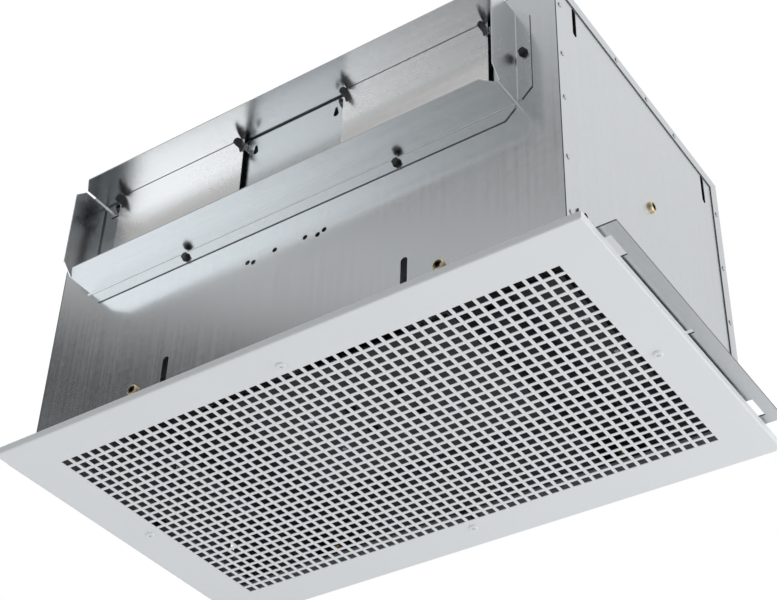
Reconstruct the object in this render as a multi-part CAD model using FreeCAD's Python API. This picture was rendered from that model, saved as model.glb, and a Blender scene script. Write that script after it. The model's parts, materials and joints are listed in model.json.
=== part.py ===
import FreeCAD, Part
import math
import os

# A twin-blower ventilation fan for a ceiling: a galvanised sheet housing with a rectangular duct collar and
# two back-draught flaps on its front wall, mounting rails on its short sides and a perforated grille below.
# Frame: X along the long side, -Y towards the duct, +Z up. The origin is the middle of the four ceiling
# screw holes, on the underside of the mounting rails. All sizes are in millimetres.

V = FreeCAD.Vector
RIGHT = V(1, 0, 0)
BACK = V(0, 1, 0)
UP = V(0, 0, 1)

# Housing panels
SHEET = 1.0
HOUSING_WIDTH = 544.8
HOUSING_DEPTH = 312.0
HOUSING_HEIGHT = 291.0
FOOT_FLANGE = 20.0
RETURN_FLANGE = 22.0
TOP_LIP = 11.0
BACK_LIP = 13.0
SLOT_WIDTH = 6.5
SLOT_LENGTH = 34.0
SLOT_OFFSET = 124.25
SLOT_LOW_Z = 27.0
SLOT_HIGH_Z = 262.5
PUNCHED_R = 2.5
PUNCHED_Z = 112.6
PUNCHED_HOLES = ((-41.6, 0.6), (-35.1, -1.8), (-12.0, 1.8), (20.6, 1.0), (34.1, -2.1), (40.8, 0.4))

# Rivets of the panel seams
RIVET_R = 1.5
RIVET_HEAD_R = 2.4
RIVET_HEAD = 0.7
RIVET_TAIL_R = 2.0
RIVET_CLEARANCE = 0.05
FRONT_SEAM_INSET = 7.0
FRONT_SEAM_Z = (27.0, 85.0, 151.0, 202.0, 262.0)
BACK_SEAM_Z = (118.0, 182.0, 249.0)
TOP_SEAM_Y = (-47.0, 11.0, 67.0)

# Duct collar
COLLAR_WIDTH = 466.5
COLLAR_HEIGHT = 111.1
COLLAR_TOP_Z = 270.0
COLLAR_DEPTH = 40.0
COLLAR_FLANGE = 14.0
COLLAR_CHAMFER = 11.0
COLLAR_FLANGE_CHAMFER = 10.0
COLLAR_CORNER_GAP = 2.4
COLLAR_BEND = 1.0
COLLAR_SCREW_X = 115.0
SCREW_R = 2.1
SCREW_CLEARANCE = 0.05
SCREW_FLATS = 6.35
SCREW_HEAD = 3.0
SCREW_WASHER_R = 4.2
SCREW_WASHER = 0.8
SCREW_LENGTH = 8.0

# Outlets and divider
OUTLET_INNER_X = 55.0
OUTLET_WIDTH = 155.0
OUTLET_CEILING_GAP = 0.3
SEAL_LEDGE = 6.0
DIVIDER_EDGE_GAP = 0.1
DIVIDER_TOP_GAP = 2.0
DIVIDER_TONGUE_WIDTH = 80.0
DIVIDER_TONGUE_OVERLAP = 20.0
TEARDROP_X = 45.6
TEARDROP_DROP = 17.3
TEARDROP_WIDTH = 5.6
TEARDROP_LENGTH = 11.0
TEARDROP_TIP = 2.0

# Back-draught flaps
FLAP_SHEET = 0.6
FLAP_SIDE_GAP = 1.7
FLAP_BOTTOM_GAP = 2.6
FLAP_STANDOFF = 4.4
HINGE_STANDOFF = 2.8
HINGE_DROP = 13.5
HINGE_ROD_R = 1.5
HINGE_CLEARANCE = 0.05
ROD_OVERHANG = 0.5
SWEEP_GAP = 0.4
EAR_SHEET = 1.0
EAR_INSET = 3.0
EAR_BOSS_R = 4.0
LUG_GAP = 0.5
LUG_HALF_HEIGHT = 5.0
LUG_FOOT = 11.0
SEAL_GAP = 0.3
SEAL_INSET = 2.0

# Blowers
SHAFT_Z = 144.5
SHAFT_R = 3.97
WHEEL_R = 76.0
WHEEL_WIDTH = 140.0
BLADE_COUNT = 40
BLADE_DEPTH = 12.0
BLADE_SHEET = 0.7
BLADE_SWEEP = 8.0
BLADE_MID_SWEEP = 1.6
WHEEL_RING = 1.2
WHEEL_DISC = 1.5
WHEEL_DISC_LAP = 2.0
HUB_R = 12.0
HUB_LENGTH = 26.0
SET_SCREW_R = 2.5
SET_SCREW_OFFSET = 8.0
SHAFT_END = 2.0
CUTOFF_GAP = 6.8
SCROLL_SHEET = 0.8
SCROLL_NOSE_R = 8.0
INLET_R = 60.0
INLET_LIP = 5.0
SCROLL_FOOT_WIDTH = 60.0
SCROLL_FOOT_FLANGE = 14.0

# Motor
MOTOR_R = 54.0
MOTOR_LENGTH = 64.0
MOTOR_SHELL = 1.5
BELL_WALL = 2.5
BELL_RIM = 4.0
BELL_DEPTH = 10.0
BELL_FACE_R = 40.0
BELL_BOSS_R = 16.0
BELL_BOSS = 8.0
BELL_VENTS = 6
BELL_VENT_R = 4.0
BEARING_R = 8.0
BEARING_LENGTH = 10.0
BEARING_CLEARANCE = 0.03
CORE_LENGTH = 44.0
ROTOR_R = 27.0
AIR_GAP = 1.0
ROTOR_RING_R = 18.0
ROTOR_RING = 6.0
WINDING_INNER_R = 33.0
WINDING_OUTER_R = 48.0
WINDING_DEPTH = 8.0
WINDING_ROUND = 3.0

# Cradle, base plate and channels
BASE_SHEET = 2.0
BASE_OVERHANG = 16.0
BASE_DEPTH = 168.0
CRADLE_SHEET = 2.0
CRADLE_DEPTH = 56.0
CRADLE_RIM = 10.0
RING_WALL = 3.5
RING_FLANGE = 2.5
CHANNEL_X = 158.0
CHANNEL_WIDTH = 40.0
CHANNEL_HEIGHT = 25.0
CHANNEL_SHEET = 1.5
CHANNEL_TOP_Z = 34.0
SUPPORT_BOLT_DROP = 14.0
BOLT_R = 3.0
BOLT_CLEARANCE = 0.2
BOLT_FLATS = 10.0
BOLT_HEAD = 4.0
NUT_HEIGHT = 5.0
BOLT_TAIL = 1.5
SUPPORT_HEAD_R = 5.4
SUPPORT_HEAD = 3.0
SUPPORT_SOCKET_R = 2.7
SUPPORT_SOCKET = 2.2
STAY_SHEET = 1.5
STAY_WIDTH = 24.0
STAY_LEG_Y = 65.0
STAY_FOOT = 14.0

# Capacitor
CAPACITOR_R = 17.0
CAPACITOR_LENGTH = 64.0
CAPACITOR_Y = 58.0
CAPACITOR_TERMINAL_R = 2.5
CAPACITOR_TERMINAL = 6.0
STRAP_SHEET = 1.0
STRAP_WIDTH = 14.0
STRAP_FOOT = 12.0

# Wiring box
BOX_DEPTH = 55.0
BOX_WIDTH = 80.0
BOX_HEIGHT = 90.0
BOX_SLOT_GAP = 6.0
BOX_TOP_GAP = 10.0
BOX_COVER_LAP = 6.0
ENTRY_R = 11.1
SOCKET_WIDTH = 32.0
SOCKET_HEIGHT = 22.0
SOCKET_DEPTH = 14.0
SOCKET_PIN_WIDTH = 2.0
SOCKET_PIN_HEIGHT = 8.0
SOCKET_PIN_PITCH = 8.0

# Grille
GRILLE_WIDTH = 592.4
GRILLE_DEPTH = 356.4
GRILLE_SHIFT_X = -2.0
GRILLE_SHIFT_Y = 2.0
GRILLE_SHEET = 0.8
GRILLE_LIP = 7.6
GRILLE_DROP = 10.0
GRILLE_BEND = 2.0
HOLE_PITCH = 11.1125
HOLE_SIZE = 7.9375
HOLE_COLUMNS = 46
HOLE_ROWS = 25
GRILLE_SCREW_X = 266.7
GRILLE_SCREW_Y = 148.6
GRILLE_SCREW_HEAD_R = 4.4
GRILLE_SCREW_HEAD = 2.2
GRILLE_SCREW_ROUND = 1.3
GRILLE_HOLE_CLEARANCE = 0.3
GRILLE_SCREW_TAIL = 3.0
CLIP_SHEET = 0.7
CLIP_WIDTH = 14.0
CLIP_LENGTH = 18.0
CLIP_BOSS_R = 4.0
CLIP_BOSS = 3.0
CLIP_CLEARANCE = 0.08

# Mounting rails
RAIL_SHEET = 1.5
RAIL_WIDTH = 37.3
RAIL_HEIGHT = 38.0
RAIL_LENGTH = 300.0
RAIL_LEG_LENGTH = 278.0
RAIL_STRIP = 11.2
RAIL_WINDOW = (111.0, 137.5)
RAIL_SLIT = 5.6
RAIL_HOLE_X = 14.0
RAIL_HOLE_R = 3.2
RAIL_WASHER_R = 7.0
RAIL_WASHER = 1.2

# Places that several pieces share
HALF_WIDTH = HOUSING_WIDTH / 2
HALF_DEPTH = HOUSING_DEPTH / 2
INNER_X = HALF_WIDTH - SHEET
FRONT_Y = -HALF_DEPTH
FRONT_INNER_Y = FRONT_Y + SHEET
BACK_INNER_Y = HALF_DEPTH - SHEET
ROOF_Z = HOUSING_HEIGHT - SHEET
COLLAR_BOTTOM_Z = COLLAR_TOP_Z - COLLAR_HEIGHT
COLLAR_FLOOR = COLLAR_BOTTOM_Z + SHEET
COLLAR_CEILING = COLLAR_TOP_Z - SHEET
OPENING_LOW = COLLAR_FLOOR + SEAL_LEDGE
OPENING_HIGH = COLLAR_CEILING + OUTLET_CEILING_GAP
OUTLET_OUTER_X = OUTLET_INNER_X + OUTLET_WIDTH
OUTLET_MID_X = OUTLET_INNER_X + OUTLET_WIDTH / 2
HINGE_Y = FRONT_Y - HINGE_STANDOFF
HINGE_Z = COLLAR_CEILING - HINGE_DROP
FLAP_INNER_X = OUTLET_INNER_X + FLAP_SIDE_GAP
FLAP_OUTER_X = OUTLET_OUTER_X - FLAP_SIDE_GAP
FLAP_BOTTOM = COLLAR_FLOOR + FLAP_BOTTOM_GAP
SWEEP_R = HINGE_DROP - SWEEP_GAP
DIVIDER_LUG_X = OUTLET_INNER_X - LUG_GAP
OUTER_LUG_X = OUTLET_OUTER_X + LUG_GAP
BASE_TOP = CHANNEL_TOP_Z + BASE_SHEET
BASE_HALF_WIDTH = OUTLET_OUTER_X + BASE_OVERHANG
SUPPORT_BOLT_Z = CHANNEL_TOP_Z - SUPPORT_BOLT_DROP
BELL_X = MOTOR_LENGTH / 2 + BELL_DEPTH
BOSS_X = BELL_X + BELL_BOSS
CRADLE_X = BOSS_X - BELL_BOSS / 2 - CRADLE_SHEET / 2
CRADLE_HOLE_R = BELL_BOSS_R + RING_WALL
GRILLE_BOTTOM = -GRILLE_DROP
GRILLE_TOP = GRILLE_BOTTOM + GRILLE_SHEET
RAIL_HOLE_PLACE = HALF_WIDTH + RAIL_HOLE_X
RAIL_HOLE_Y = (RAIL_LENGTH + RAIL_LEG_LENGTH) / 4


def block(x, y, z):
    """A box from its three ranges."""
    return Part.makeBox(x[1] - x[0], y[1] - y[0], z[1] - z[0], V(x[0], y[0], z[0]))


def mirrored_range(side, low, high):
    """The range low to high on the right (side 1), or its mirror on the left (side -1)."""
    return tuple(sorted((side * low, side * high)))


def round_bar(radius, start, end):
    """A cylinder from one point to another."""
    return Part.makeCylinder(radius, (end - start).Length, start, end - start)


def prism(points, thickness):
    """A flat outline of straight edges, thickened along a vector."""
    return Part.Face(Part.makePolygon(points + [points[0]])).extrude(thickness)


def joined(shapes):
    """One solid out of overlapping or touching ones."""
    return shapes[0].fuse(shapes[1:]).removeSplitter()


def aimed(shape, at, direction):
    """A copy of a piece that was modelled along +Z, at a place and along a direction."""
    copy = shape.copy()
    copy.Placement = FreeCAD.Placement(at, FreeCAD.Rotation(UP, direction))
    return copy


def mirrored(shape):
    """The left-hand copy of a right-hand piece."""
    return shape.mirror(V(0, 0, 0), RIGHT)


def filleted(shape, radius, chosen):
    """Rounds the edges whose midpoint passes a test."""
    edges = [edge for edge in shape.Edges if chosen(edge.CenterOfMass)]
    return shape.makeFillet(radius, edges)


def hexagon(flats, height):
    """A hexagonal prism on the XY plane."""
    corner = flats / math.sqrt(3)
    turns = [math.radians(60 * i) for i in range(6)]
    points = [V(corner * math.cos(turn), corner * math.sin(turn), 0) for turn in turns]
    return prism(points, UP * height)


def sheet_screw():
    """Hex washer-head screw: the head stands on the XY plane and the shank goes down."""
    washer = Part.makeCylinder(SCREW_WASHER_R, SCREW_WASHER)
    head = hexagon(SCREW_FLATS, SCREW_WASHER + SCREW_HEAD)
    shank = Part.makeCylinder(SCREW_R, SCREW_LENGTH, V(0, 0, -SCREW_LENGTH))
    return joined([washer, head, shank])


def bolt_shank(grip):
    """A bolt's shank below the XY plane, long enough for the grip and the nut."""
    length = grip + NUT_HEIGHT + BOLT_TAIL
    return Part.makeCylinder(BOLT_R, length, V(0, 0, -length))


def bolt_nut(grip):
    """The hex nut below the clamped grip."""
    nut = hexagon(BOLT_FLATS, NUT_HEIGHT).cut(Part.makeCylinder(BOLT_R, NUT_HEIGHT))
    nut.translate(V(0, 0, -grip - NUT_HEIGHT))
    return nut


def hex_bolt(grip):
    """Hex bolt whose head stands on the XY plane, with its nut."""
    bolt = joined([hexagon(BOLT_FLATS, BOLT_HEAD), bolt_shank(grip)])
    return Part.makeCompound([bolt, bolt_nut(grip)])


def support_bolt(grip):
    """Round-headed bolt with a socket in its head, with its nut."""
    head = Part.makeCylinder(SUPPORT_HEAD_R, SUPPORT_HEAD)
    head = head.makeFillet(SUPPORT_HEAD / 2, [head.Edges[0]])
    socket = Part.makeCylinder(SUPPORT_SOCKET_R, SUPPORT_SOCKET, V(0, 0, SUPPORT_HEAD - SUPPORT_SOCKET))
    bolt = joined([head, bolt_shank(grip)]).cut(socket)
    return Part.makeCompound([bolt, bolt_nut(grip)])


def rivet():
    """Flat rivet through two sheets: the head stands on the XY plane."""
    grip = 2 * SHEET
    head = Part.makeCylinder(RIVET_HEAD_R, RIVET_HEAD)
    shank = Part.makeCylinder(RIVET_R, grip, V(0, 0, -grip))
    tail = Part.makeCylinder(RIVET_TAIL_R, RIVET_HEAD, V(0, 0, -grip - RIVET_HEAD))
    return joined([head, shank, tail])


def hole(radius, at, direction, depth):
    """A cutter for a round hole, centred on a sheet's middle."""
    return round_bar(radius, at - direction * depth, at + direction * depth)


def wall_slot(at, through):
    """A cutter for an upright slot through a wall sheet."""
    radius = SLOT_WIDTH / 2
    rise = UP * (SLOT_LENGTH / 2 - radius)
    across = through.cross(UP) * radius
    depth = through * (2 * SHEET)
    corners = [at - rise - across, at - rise + across, at + rise + across, at + rise - across]
    middle = prism([corner - depth for corner in corners], depth * 2)
    ends = [hole(radius, at + way, through, 2 * SHEET) for way in (rise, rise * -1)]
    return joined([middle] + ends)


def seam_rivet_places(side):
    """Where the seam rivets of one side wall sit, on the outer sheet, with how far out that sheet is."""
    lip_x = HALF_WIDTH + SHEET
    front = [(HALF_WIDTH, FRONT_Y + FRONT_SEAM_INSET, z) for z in FRONT_SEAM_Z]
    back = [(lip_x, HALF_DEPTH - BACK_LIP / 2, z) for z in BACK_SEAM_Z]
    top = [(lip_x, y, HOUSING_HEIGHT - TOP_LIP / 2) for y in TOP_SEAM_Y]
    return [V(side * x, y, z) for x, y, z in front + back + top]


def lug_rivet_place(side):
    """Where the rivet through one outer hinge lug's foot sits, on the foot."""
    return V(side * (OUTER_LUG_X + SHEET + LUG_FOOT / 2), FRONT_Y - SHEET, HINGE_Z)


def rivet_holes(places, direction):
    return [hole(RIVET_R + RIVET_CLEARANCE, place, direction, 4 * SHEET) for place in places]


def collar_screw_places():
    """Each collar angle's screws, as places on the flange's face."""
    drop = COLLAR_FLANGE / 2
    middle = COLLAR_TOP_Z - COLLAR_HEIGHT / 2
    y = FRONT_Y - SHEET
    places = {"bottom": [], "top": [], "left": [], "right": []}
    for side in (-1, 1):
        places["bottom"].append(V(side * COLLAR_SCREW_X, y, COLLAR_BOTTOM_Z - drop))
        places["top"].append(V(side * COLLAR_SCREW_X, y, COLLAR_TOP_Z + drop))
    places["left"].append(V(-COLLAR_WIDTH / 2 - drop, y, middle))
    places["right"].append(V(COLLAR_WIDTH / 2 + drop, y, middle))
    return places


def grille_screw_places():
    """The four grille screws, on the origin's plane, each with the way out to the nearest wall."""
    places = [(V(side * GRILLE_SCREW_X, 0, 0), RIGHT * side) for side in (-1, 1)]
    return places + [(V(0, side * GRILLE_SCREW_Y, 0), BACK * side) for side in (-1, 1)]


def foot_flange_holes():
    radius = SCREW_R + 2 * GRILLE_HOLE_CLEARANCE
    return [hole(radius, place, UP, 2 * SHEET) for place, _ in grille_screw_places()]


def channel_bolt_places(end):
    """The zinc bolts low on the front (end -1) or back (end 1) wall, on its outer face."""
    return [V(side * CHANNEL_X, end * HALF_DEPTH, SUPPORT_BOLT_Z) for side in (-1, 1)]


# Housing
def front_panel():
    sheet = block((-INNER_X, INNER_X), (FRONT_Y, FRONT_INNER_Y), (0, ROOF_Z))
    outlet = block((-OUTLET_OUTER_X, OUTLET_OUTER_X), (FRONT_Y, FRONT_INNER_Y), (OPENING_LOW, OPENING_HIGH))
    flange_y = (FRONT_Y, FRONT_Y + RETURN_FLANGE)
    returns = [block(mirrored_range(s, INNER_X - SHEET, INNER_X), flange_y, (0, ROOF_Z)) for s in (-1, 1)]
    roof = block((-INNER_X, INNER_X), flange_y, (ROOF_Z - SHEET, ROOF_Z))
    foot = block((-INNER_X, INNER_X), (FRONT_Y, FRONT_Y + FOOT_FLANGE), (0, SHEET))
    panel = joined([sheet, roof, foot] + returns)
    cuts = [outlet]
    for side in (-1, 1):
        cuts.append(wall_slot(V(side * SLOT_OFFSET, FRONT_Y, SLOT_LOW_Z), BACK))
        cuts += rivet_holes(seam_rivet_places(side), RIGHT)
        cuts += rivet_holes([lug_rivet_place(side)], BACK)
    cuts += [hole(PUNCHED_R, V(x, FRONT_Y, PUNCHED_Z + rise), BACK, 2 * SHEET) for x, rise in PUNCHED_HOLES]
    for places in collar_screw_places().values():
        cuts += [hole(SCREW_R + SCREW_CLEARANCE, place, BACK, 4 * SHEET) for place in places]
    cuts += [hole(BOLT_R + BOLT_CLEARANCE, place, BACK, 2 * SHEET) for place in channel_bolt_places(-1)]
    return panel.cut(cuts + foot_flange_holes())


def back_panel():
    sheet = block((-HALF_WIDTH, HALF_WIDTH), (BACK_INNER_Y, HALF_DEPTH), (0, ROOF_Z))
    inner_foot = HALF_WIDTH - SHEET
    foot = block((-inner_foot, inner_foot), (HALF_DEPTH - FOOT_FLANGE, HALF_DEPTH), (0, SHEET))
    pieces = [sheet, foot]
    lip_y = HALF_DEPTH - BACK_LIP
    mitre_z = HOUSING_HEIGHT - TOP_LIP
    for side in (-1, 1):
        x = side * HALF_WIDTH
        top_y = HALF_DEPTH - BACK_LIP * SHEET / TOP_LIP
        outline = [(lip_y, 0), (HALF_DEPTH, 0), (HALF_DEPTH, ROOF_Z), (top_y, ROOF_Z), (lip_y, mitre_z)]
        pieces.append(prism([V(x, y, z) for y, z in outline], RIGHT * side * SHEET))
    panel = joined(pieces)
    cuts = []
    for side in (-1, 1):
        cuts.append(wall_slot(V(side * SLOT_OFFSET, HALF_DEPTH, SLOT_HIGH_Z), BACK))
        cuts += rivet_holes(seam_rivet_places(side), RIGHT)
    cuts += [hole(BOLT_R + BOLT_CLEARANCE, place, BACK, 2 * SHEET) for place in channel_bolt_places(1)]
    return panel.cut(cuts + foot_flange_holes())


def side_panel(side):
    sheet = block(mirrored_range(side, INNER_X, HALF_WIDTH), (FRONT_Y, BACK_INNER_Y), (0, ROOF_Z))
    foot_y = HALF_DEPTH - max(FOOT_FLANGE, RETURN_FLANGE) - SHEET
    foot = block(mirrored_range(side, HALF_WIDTH - FOOT_FLANGE, HALF_WIDTH), (-foot_y, foot_y), (0, SHEET))
    x = side * HALF_WIDTH
    cuts = []
    for y in (-SLOT_OFFSET, SLOT_OFFSET):
        cuts += [wall_slot(V(x, y, z), RIGHT) for z in (SLOT_LOW_Z, SLOT_HIGH_Z)]
    cuts += rivet_holes(seam_rivet_places(side), RIGHT)
    cuts.append(hole(BOLT_R + BOLT_CLEARANCE, V(x, 0, SHAFT_Z), RIGHT, 2 * SHEET))
    if side < 0:
        cuts.append(hole(ENTRY_R, entry_place(), RIGHT, 2 * SHEET))
        cuts += [hole(RIVET_R + RIVET_CLEARANCE, place, RIGHT, 2 * SHEET) for place in box_rivet_places()]
    return joined([sheet, foot]).cut(cuts + foot_flange_holes())


def top_panel():
    lip_x = HALF_WIDTH + SHEET
    pieces = [block((-lip_x, lip_x), (FRONT_Y, HALF_DEPTH), (ROOF_Z, HOUSING_HEIGHT))]
    lip_z = HOUSING_HEIGHT - TOP_LIP
    mitre_y = HALF_DEPTH - BACK_LIP
    roof_y = HALF_DEPTH - BACK_LIP * SHEET / TOP_LIP
    outline = [(FRONT_Y, lip_z), (mitre_y, lip_z), (roof_y, ROOF_Z), (FRONT_Y, ROOF_Z)]
    cuts = []
    for side in (-1, 1):
        x = side * HALF_WIDTH
        pieces.append(prism([V(x, y, z) for y, z in outline], RIGHT * side * SHEET))
        cuts += rivet_holes(seam_rivet_places(side), RIGHT)
    return joined(pieces).cut(cuts)


def housing_rivets():
    pieces = []
    for side in (-1, 1):
        pieces += [aimed(rivet(), place, RIGHT * side) for place in seam_rivet_places(side)]
        pieces.append(aimed(rivet(), lug_rivet_place(side), BACK * -1))
    pieces += [aimed(rivet(), place, RIGHT * -1) for place in box_rivet_places()]
    return Part.makeCompound(pieces)


# Duct collar
def collar_angle(length, turn, at, screws):
    """One angle: its plate reaches out from the wall and its flange lies on the wall, pointing outwards.
    It is drawn as the bottom one and turned about the duct's axis to its place."""
    half = length / 2
    tip = half - COLLAR_CHAMFER
    root = COLLAR_CHAMFER - COLLAR_DEPTH
    far = -COLLAR_DEPTH
    plate_outline = [(-half, 0), (half, 0), (half, root), (tip, far), (-tip, far), (-half, root)]
    plate = prism([V(x, y, 0) for x, y in plate_outline], UP * SHEET)
    inner = COLLAR_FLANGE_CHAMFER - COLLAR_FLANGE
    end = half - COLLAR_FLANGE_CHAMFER
    low = -COLLAR_FLANGE
    flange_outline = [(-half, SHEET), (half, SHEET), (half, inner), (end, low), (-end, low), (-half, inner)]
    flange = prism([V(x, 0, z) for x, z in flange_outline], BACK * -SHEET)
    angle = joined([plate, flange])
    angle = filleted(angle, COLLAR_BEND, lambda p: abs(p.y + SHEET) + abs(p.z) < SHEET / 10)
    angle = filleted(angle, COLLAR_BEND + SHEET, lambda p: abs(p.y) + abs(p.z - SHEET) < SHEET / 10)
    angle.Placement = FreeCAD.Placement(at, FreeCAD.Rotation(BACK, turn))
    return angle.cut([hole(SCREW_R + SCREW_CLEARANCE, place, BACK, 2 * SHEET) for place in screws])


def collar():
    places = collar_screw_places()
    wide = COLLAR_WIDTH - 2 * COLLAR_CORNER_GAP
    tall = COLLAR_HEIGHT - 2 * COLLAR_CORNER_GAP
    middle = COLLAR_TOP_Z - COLLAR_HEIGHT / 2
    return {
        "collar_bottom": collar_angle(wide, 0, V(0, FRONT_Y, COLLAR_BOTTOM_Z), places["bottom"]),
        "collar_right": collar_angle(tall, -90, V(COLLAR_WIDTH / 2, FRONT_Y, middle), places["right"]),
        "collar_top": collar_angle(wide, 180, V(0, FRONT_Y, COLLAR_TOP_Z), places["top"]),
        "collar_left": collar_angle(tall, 90, V(-COLLAR_WIDTH / 2, FRONT_Y, middle), places["left"]),
    }


def collar_screws():
    places = [place for group in collar_screw_places().values() for place in group]
    return Part.makeCompound([aimed(sheet_screw(), place, BACK * -1) for place in places])


# Divider, hinge lugs, flaps and seals
def lug_tab(x, direction, root_y):
    """A hinge lug: a tab that stands out of the wall from root_y, with a round nose about the rod."""
    end = x + direction * SHEET
    z = (HINGE_Z - LUG_HALF_HEIGHT, HINGE_Z + LUG_HALF_HEIGHT)
    tab = block(mirrored_range(1, x, end), (HINGE_Y, root_y), z)
    nose = round_bar(LUG_HALF_HEIGHT, V(x, HINGE_Y, HINGE_Z), V(end, HINGE_Y, HINGE_Z))
    behind = block(mirrored_range(1, x, end), (root_y, root_y + 2 * LUG_HALF_HEIGHT), z)
    return joined([tab, nose]).cut(behind)


def rod_hole(x):
    return hole(HINGE_ROD_R + HINGE_CLEARANCE, V(x, HINGE_Y, HINGE_Z), RIGHT, 2 * SHEET)


def outlet_divider():
    half = OUTLET_INNER_X - DIVIDER_EDGE_GAP
    top = COLLAR_CEILING - DIVIDER_TOP_GAP
    pieces = [block((-half, half), (FRONT_Y, FRONT_INNER_Y), (OPENING_LOW, top))]
    tongue = DIVIDER_TONGUE_WIDTH / 2
    tongue_z = (OPENING_LOW - DIVIDER_TONGUE_OVERLAP, OPENING_LOW + DIVIDER_TONGUE_OVERLAP)
    pieces.append(block((-tongue, tongue), (FRONT_INNER_Y, FRONT_INNER_Y + SHEET), tongue_z))
    cuts = []
    radius = TEARDROP_WIDTH / 2
    rise = TEARDROP_LENGTH / 2 - radius
    tip = TEARDROP_TIP / 2
    drop = [(-radius, -rise), (radius, -rise), (tip, rise + radius), (-tip, rise + radius)]
    for side in (-1, 1):
        pieces.append(lug_tab(side * DIVIDER_LUG_X, -side, FRONT_INNER_Y))
        cuts.append(rod_hole(side * DIVIDER_LUG_X))
        centre = V(side * TEARDROP_X, FRONT_Y, COLLAR_CEILING - TEARDROP_DROP)
        cuts.append(hole(radius, centre - UP * rise, BACK, 2 * SHEET))
        cuts.append(prism([centre + V(x, -2 * SHEET, z) for x, z in drop], BACK * 4 * SHEET))
    return joined(pieces).cut(cuts)


def hinge_lugs():
    lugs = []
    for side in (-1, 1):
        tab = lug_tab(side * OUTER_LUG_X, side, FRONT_Y)
        foot_x = mirrored_range(side, OUTER_LUG_X, OUTER_LUG_X + SHEET + LUG_FOOT)
        foot_z = (HINGE_Z - LUG_HALF_HEIGHT, HINGE_Z + LUG_HALF_HEIGHT)
        foot = block(foot_x, (FRONT_Y - SHEET, FRONT_Y), foot_z)
        cuts = [rod_hole(side * OUTER_LUG_X)] + rivet_holes([lug_rivet_place(side)], BACK)
        lugs.append(joined([tab, foot]).cut(cuts))
    return Part.makeCompound(lugs)


def right_flap():
    """A plain leaf in front of its rod, with a quarter-disc ear near each end that the rod passes through."""
    face_y = FRONT_Y - FLAP_STANDOFF
    reach = FLAP_STANDOFF - HINGE_STANDOFF + FLAP_SHEET
    top = HINGE_Z + math.sqrt(SWEEP_R**2 - reach**2)
    width = (FLAP_INNER_X, FLAP_OUTER_X)
    sheet = block(width, (face_y - FLAP_SHEET, face_y), (FLAP_BOTTOM, top))
    ears = []
    ear_low = (FLAP_INNER_X + EAR_INSET, FLAP_OUTER_X - EAR_INSET - EAR_SHEET)
    for x in ear_low:
        centre = V(x, HINGE_Y, HINGE_Z)
        front = centre - BACK * SWEEP_R
        crown = centre + UP * SWEEP_R
        middle = centre + (UP - BACK) * (SWEEP_R / math.sqrt(2))
        rim = Part.Arc(front, middle, crown).toShape()
        outline = Part.Wire([Part.makeLine(centre, front), rim, Part.makeLine(crown, centre)])
        ears.append(Part.Face(outline).extrude(RIGHT * EAR_SHEET))
        ears.append(round_bar(EAR_BOSS_R, centre, centre + RIGHT * EAR_SHEET))
    bore = round_bar(HINGE_ROD_R, V(FLAP_INNER_X, HINGE_Y, HINGE_Z), V(FLAP_OUTER_X, HINGE_Y, HINGE_Z))
    return joined([sheet] + ears).cut(bore)


def right_hinge_rod():
    start = DIVIDER_LUG_X - SHEET - ROD_OVERHANG
    end = OUTER_LUG_X + SHEET + ROD_OVERHANG
    return round_bar(HINGE_ROD_R, V(start, HINGE_Y, HINGE_Z), V(end, HINGE_Y, HINGE_Z))


def flap_seals():
    strips = []
    for side in (-1, 1):
        x = mirrored_range(side, FLAP_INNER_X + SEAL_INSET, FLAP_OUTER_X - SEAL_INSET)
        y = (FRONT_Y - FLAP_STANDOFF + SEAL_GAP, FRONT_Y)
        strips.append(block(x, y, (COLLAR_FLOOR + SEAL_GAP, OPENING_LOW - SEAL_GAP)))
    return Part.makeCompound(strips)


# Scroll casings
def scroll_edges(offset):
    """The casing's path from the outlet's floor round to its ceiling, as tangent lines and arcs. Each
    quarter's radius is one step larger than the last, about the corners of a small square round the shaft."""
    front = WHEEL_R + CUTOFF_GAP
    step = (OPENING_HIGH - SHAFT_Z - front) / 3
    half = step / 2
    centres = [V(0, half, SHAFT_Z - half), V(0, half, SHAFT_Z + half), V(0, -half, SHAFT_Z + half)]
    radii = [front + half + step * i + offset for i in range(3)]
    quarters = [(BACK * -1, UP * -1), (UP * -1, BACK), (BACK, UP)]
    nose = V(0, -front - SCROLL_NOSE_R, OPENING_LOW - SCROLL_NOSE_R)
    nose_r = SCROLL_NOSE_R - offset
    floor_start = V(0, FRONT_INNER_Y, OPENING_LOW - offset)
    nose_top = nose + UP * nose_r
    nose_back = nose + BACK * nose_r
    spiral_start = centres[0] - BACK * radii[0]
    edges = [Part.makeLine(floor_start, nose_top)]
    edges.append(Part.Arc(nose_top, nose + (UP + BACK) * (nose_r / math.sqrt(2)), nose_back).toShape())
    edges.append(Part.makeLine(nose_back, spiral_start))
    for centre, radius, (first, last) in zip(centres, radii, quarters):
        middle = centre + (first + last) * (radius / math.sqrt(2))
        edges.append(Part.Arc(centre + first * radius, middle, centre + last * radius).toShape())
    crown = centres[2] + UP * radii[2]
    edges.append(Part.makeLine(crown, V(0, FRONT_INNER_Y, OPENING_HIGH + offset)))
    return edges


def right_scroll_wrapper():
    inside = scroll_edges(0)
    outside = scroll_edges(SCROLL_SHEET)
    floor = Part.makeLine(V(0, FRONT_INNER_Y, OPENING_LOW), V(0, FRONT_INNER_Y, OPENING_LOW - SCROLL_SHEET))
    roof = Part.makeLine(V(0, FRONT_INNER_Y, OPENING_HIGH), V(0, FRONT_INNER_Y, OPENING_HIGH + SCROLL_SHEET))
    outline = Part.Wire(Part.__sortEdges__(inside + outside + [floor, roof]))
    band = Part.Face(outline).extrude(RIGHT * OUTLET_WIDTH)
    band.translate(RIGHT * OUTLET_INNER_X)
    return band


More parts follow.
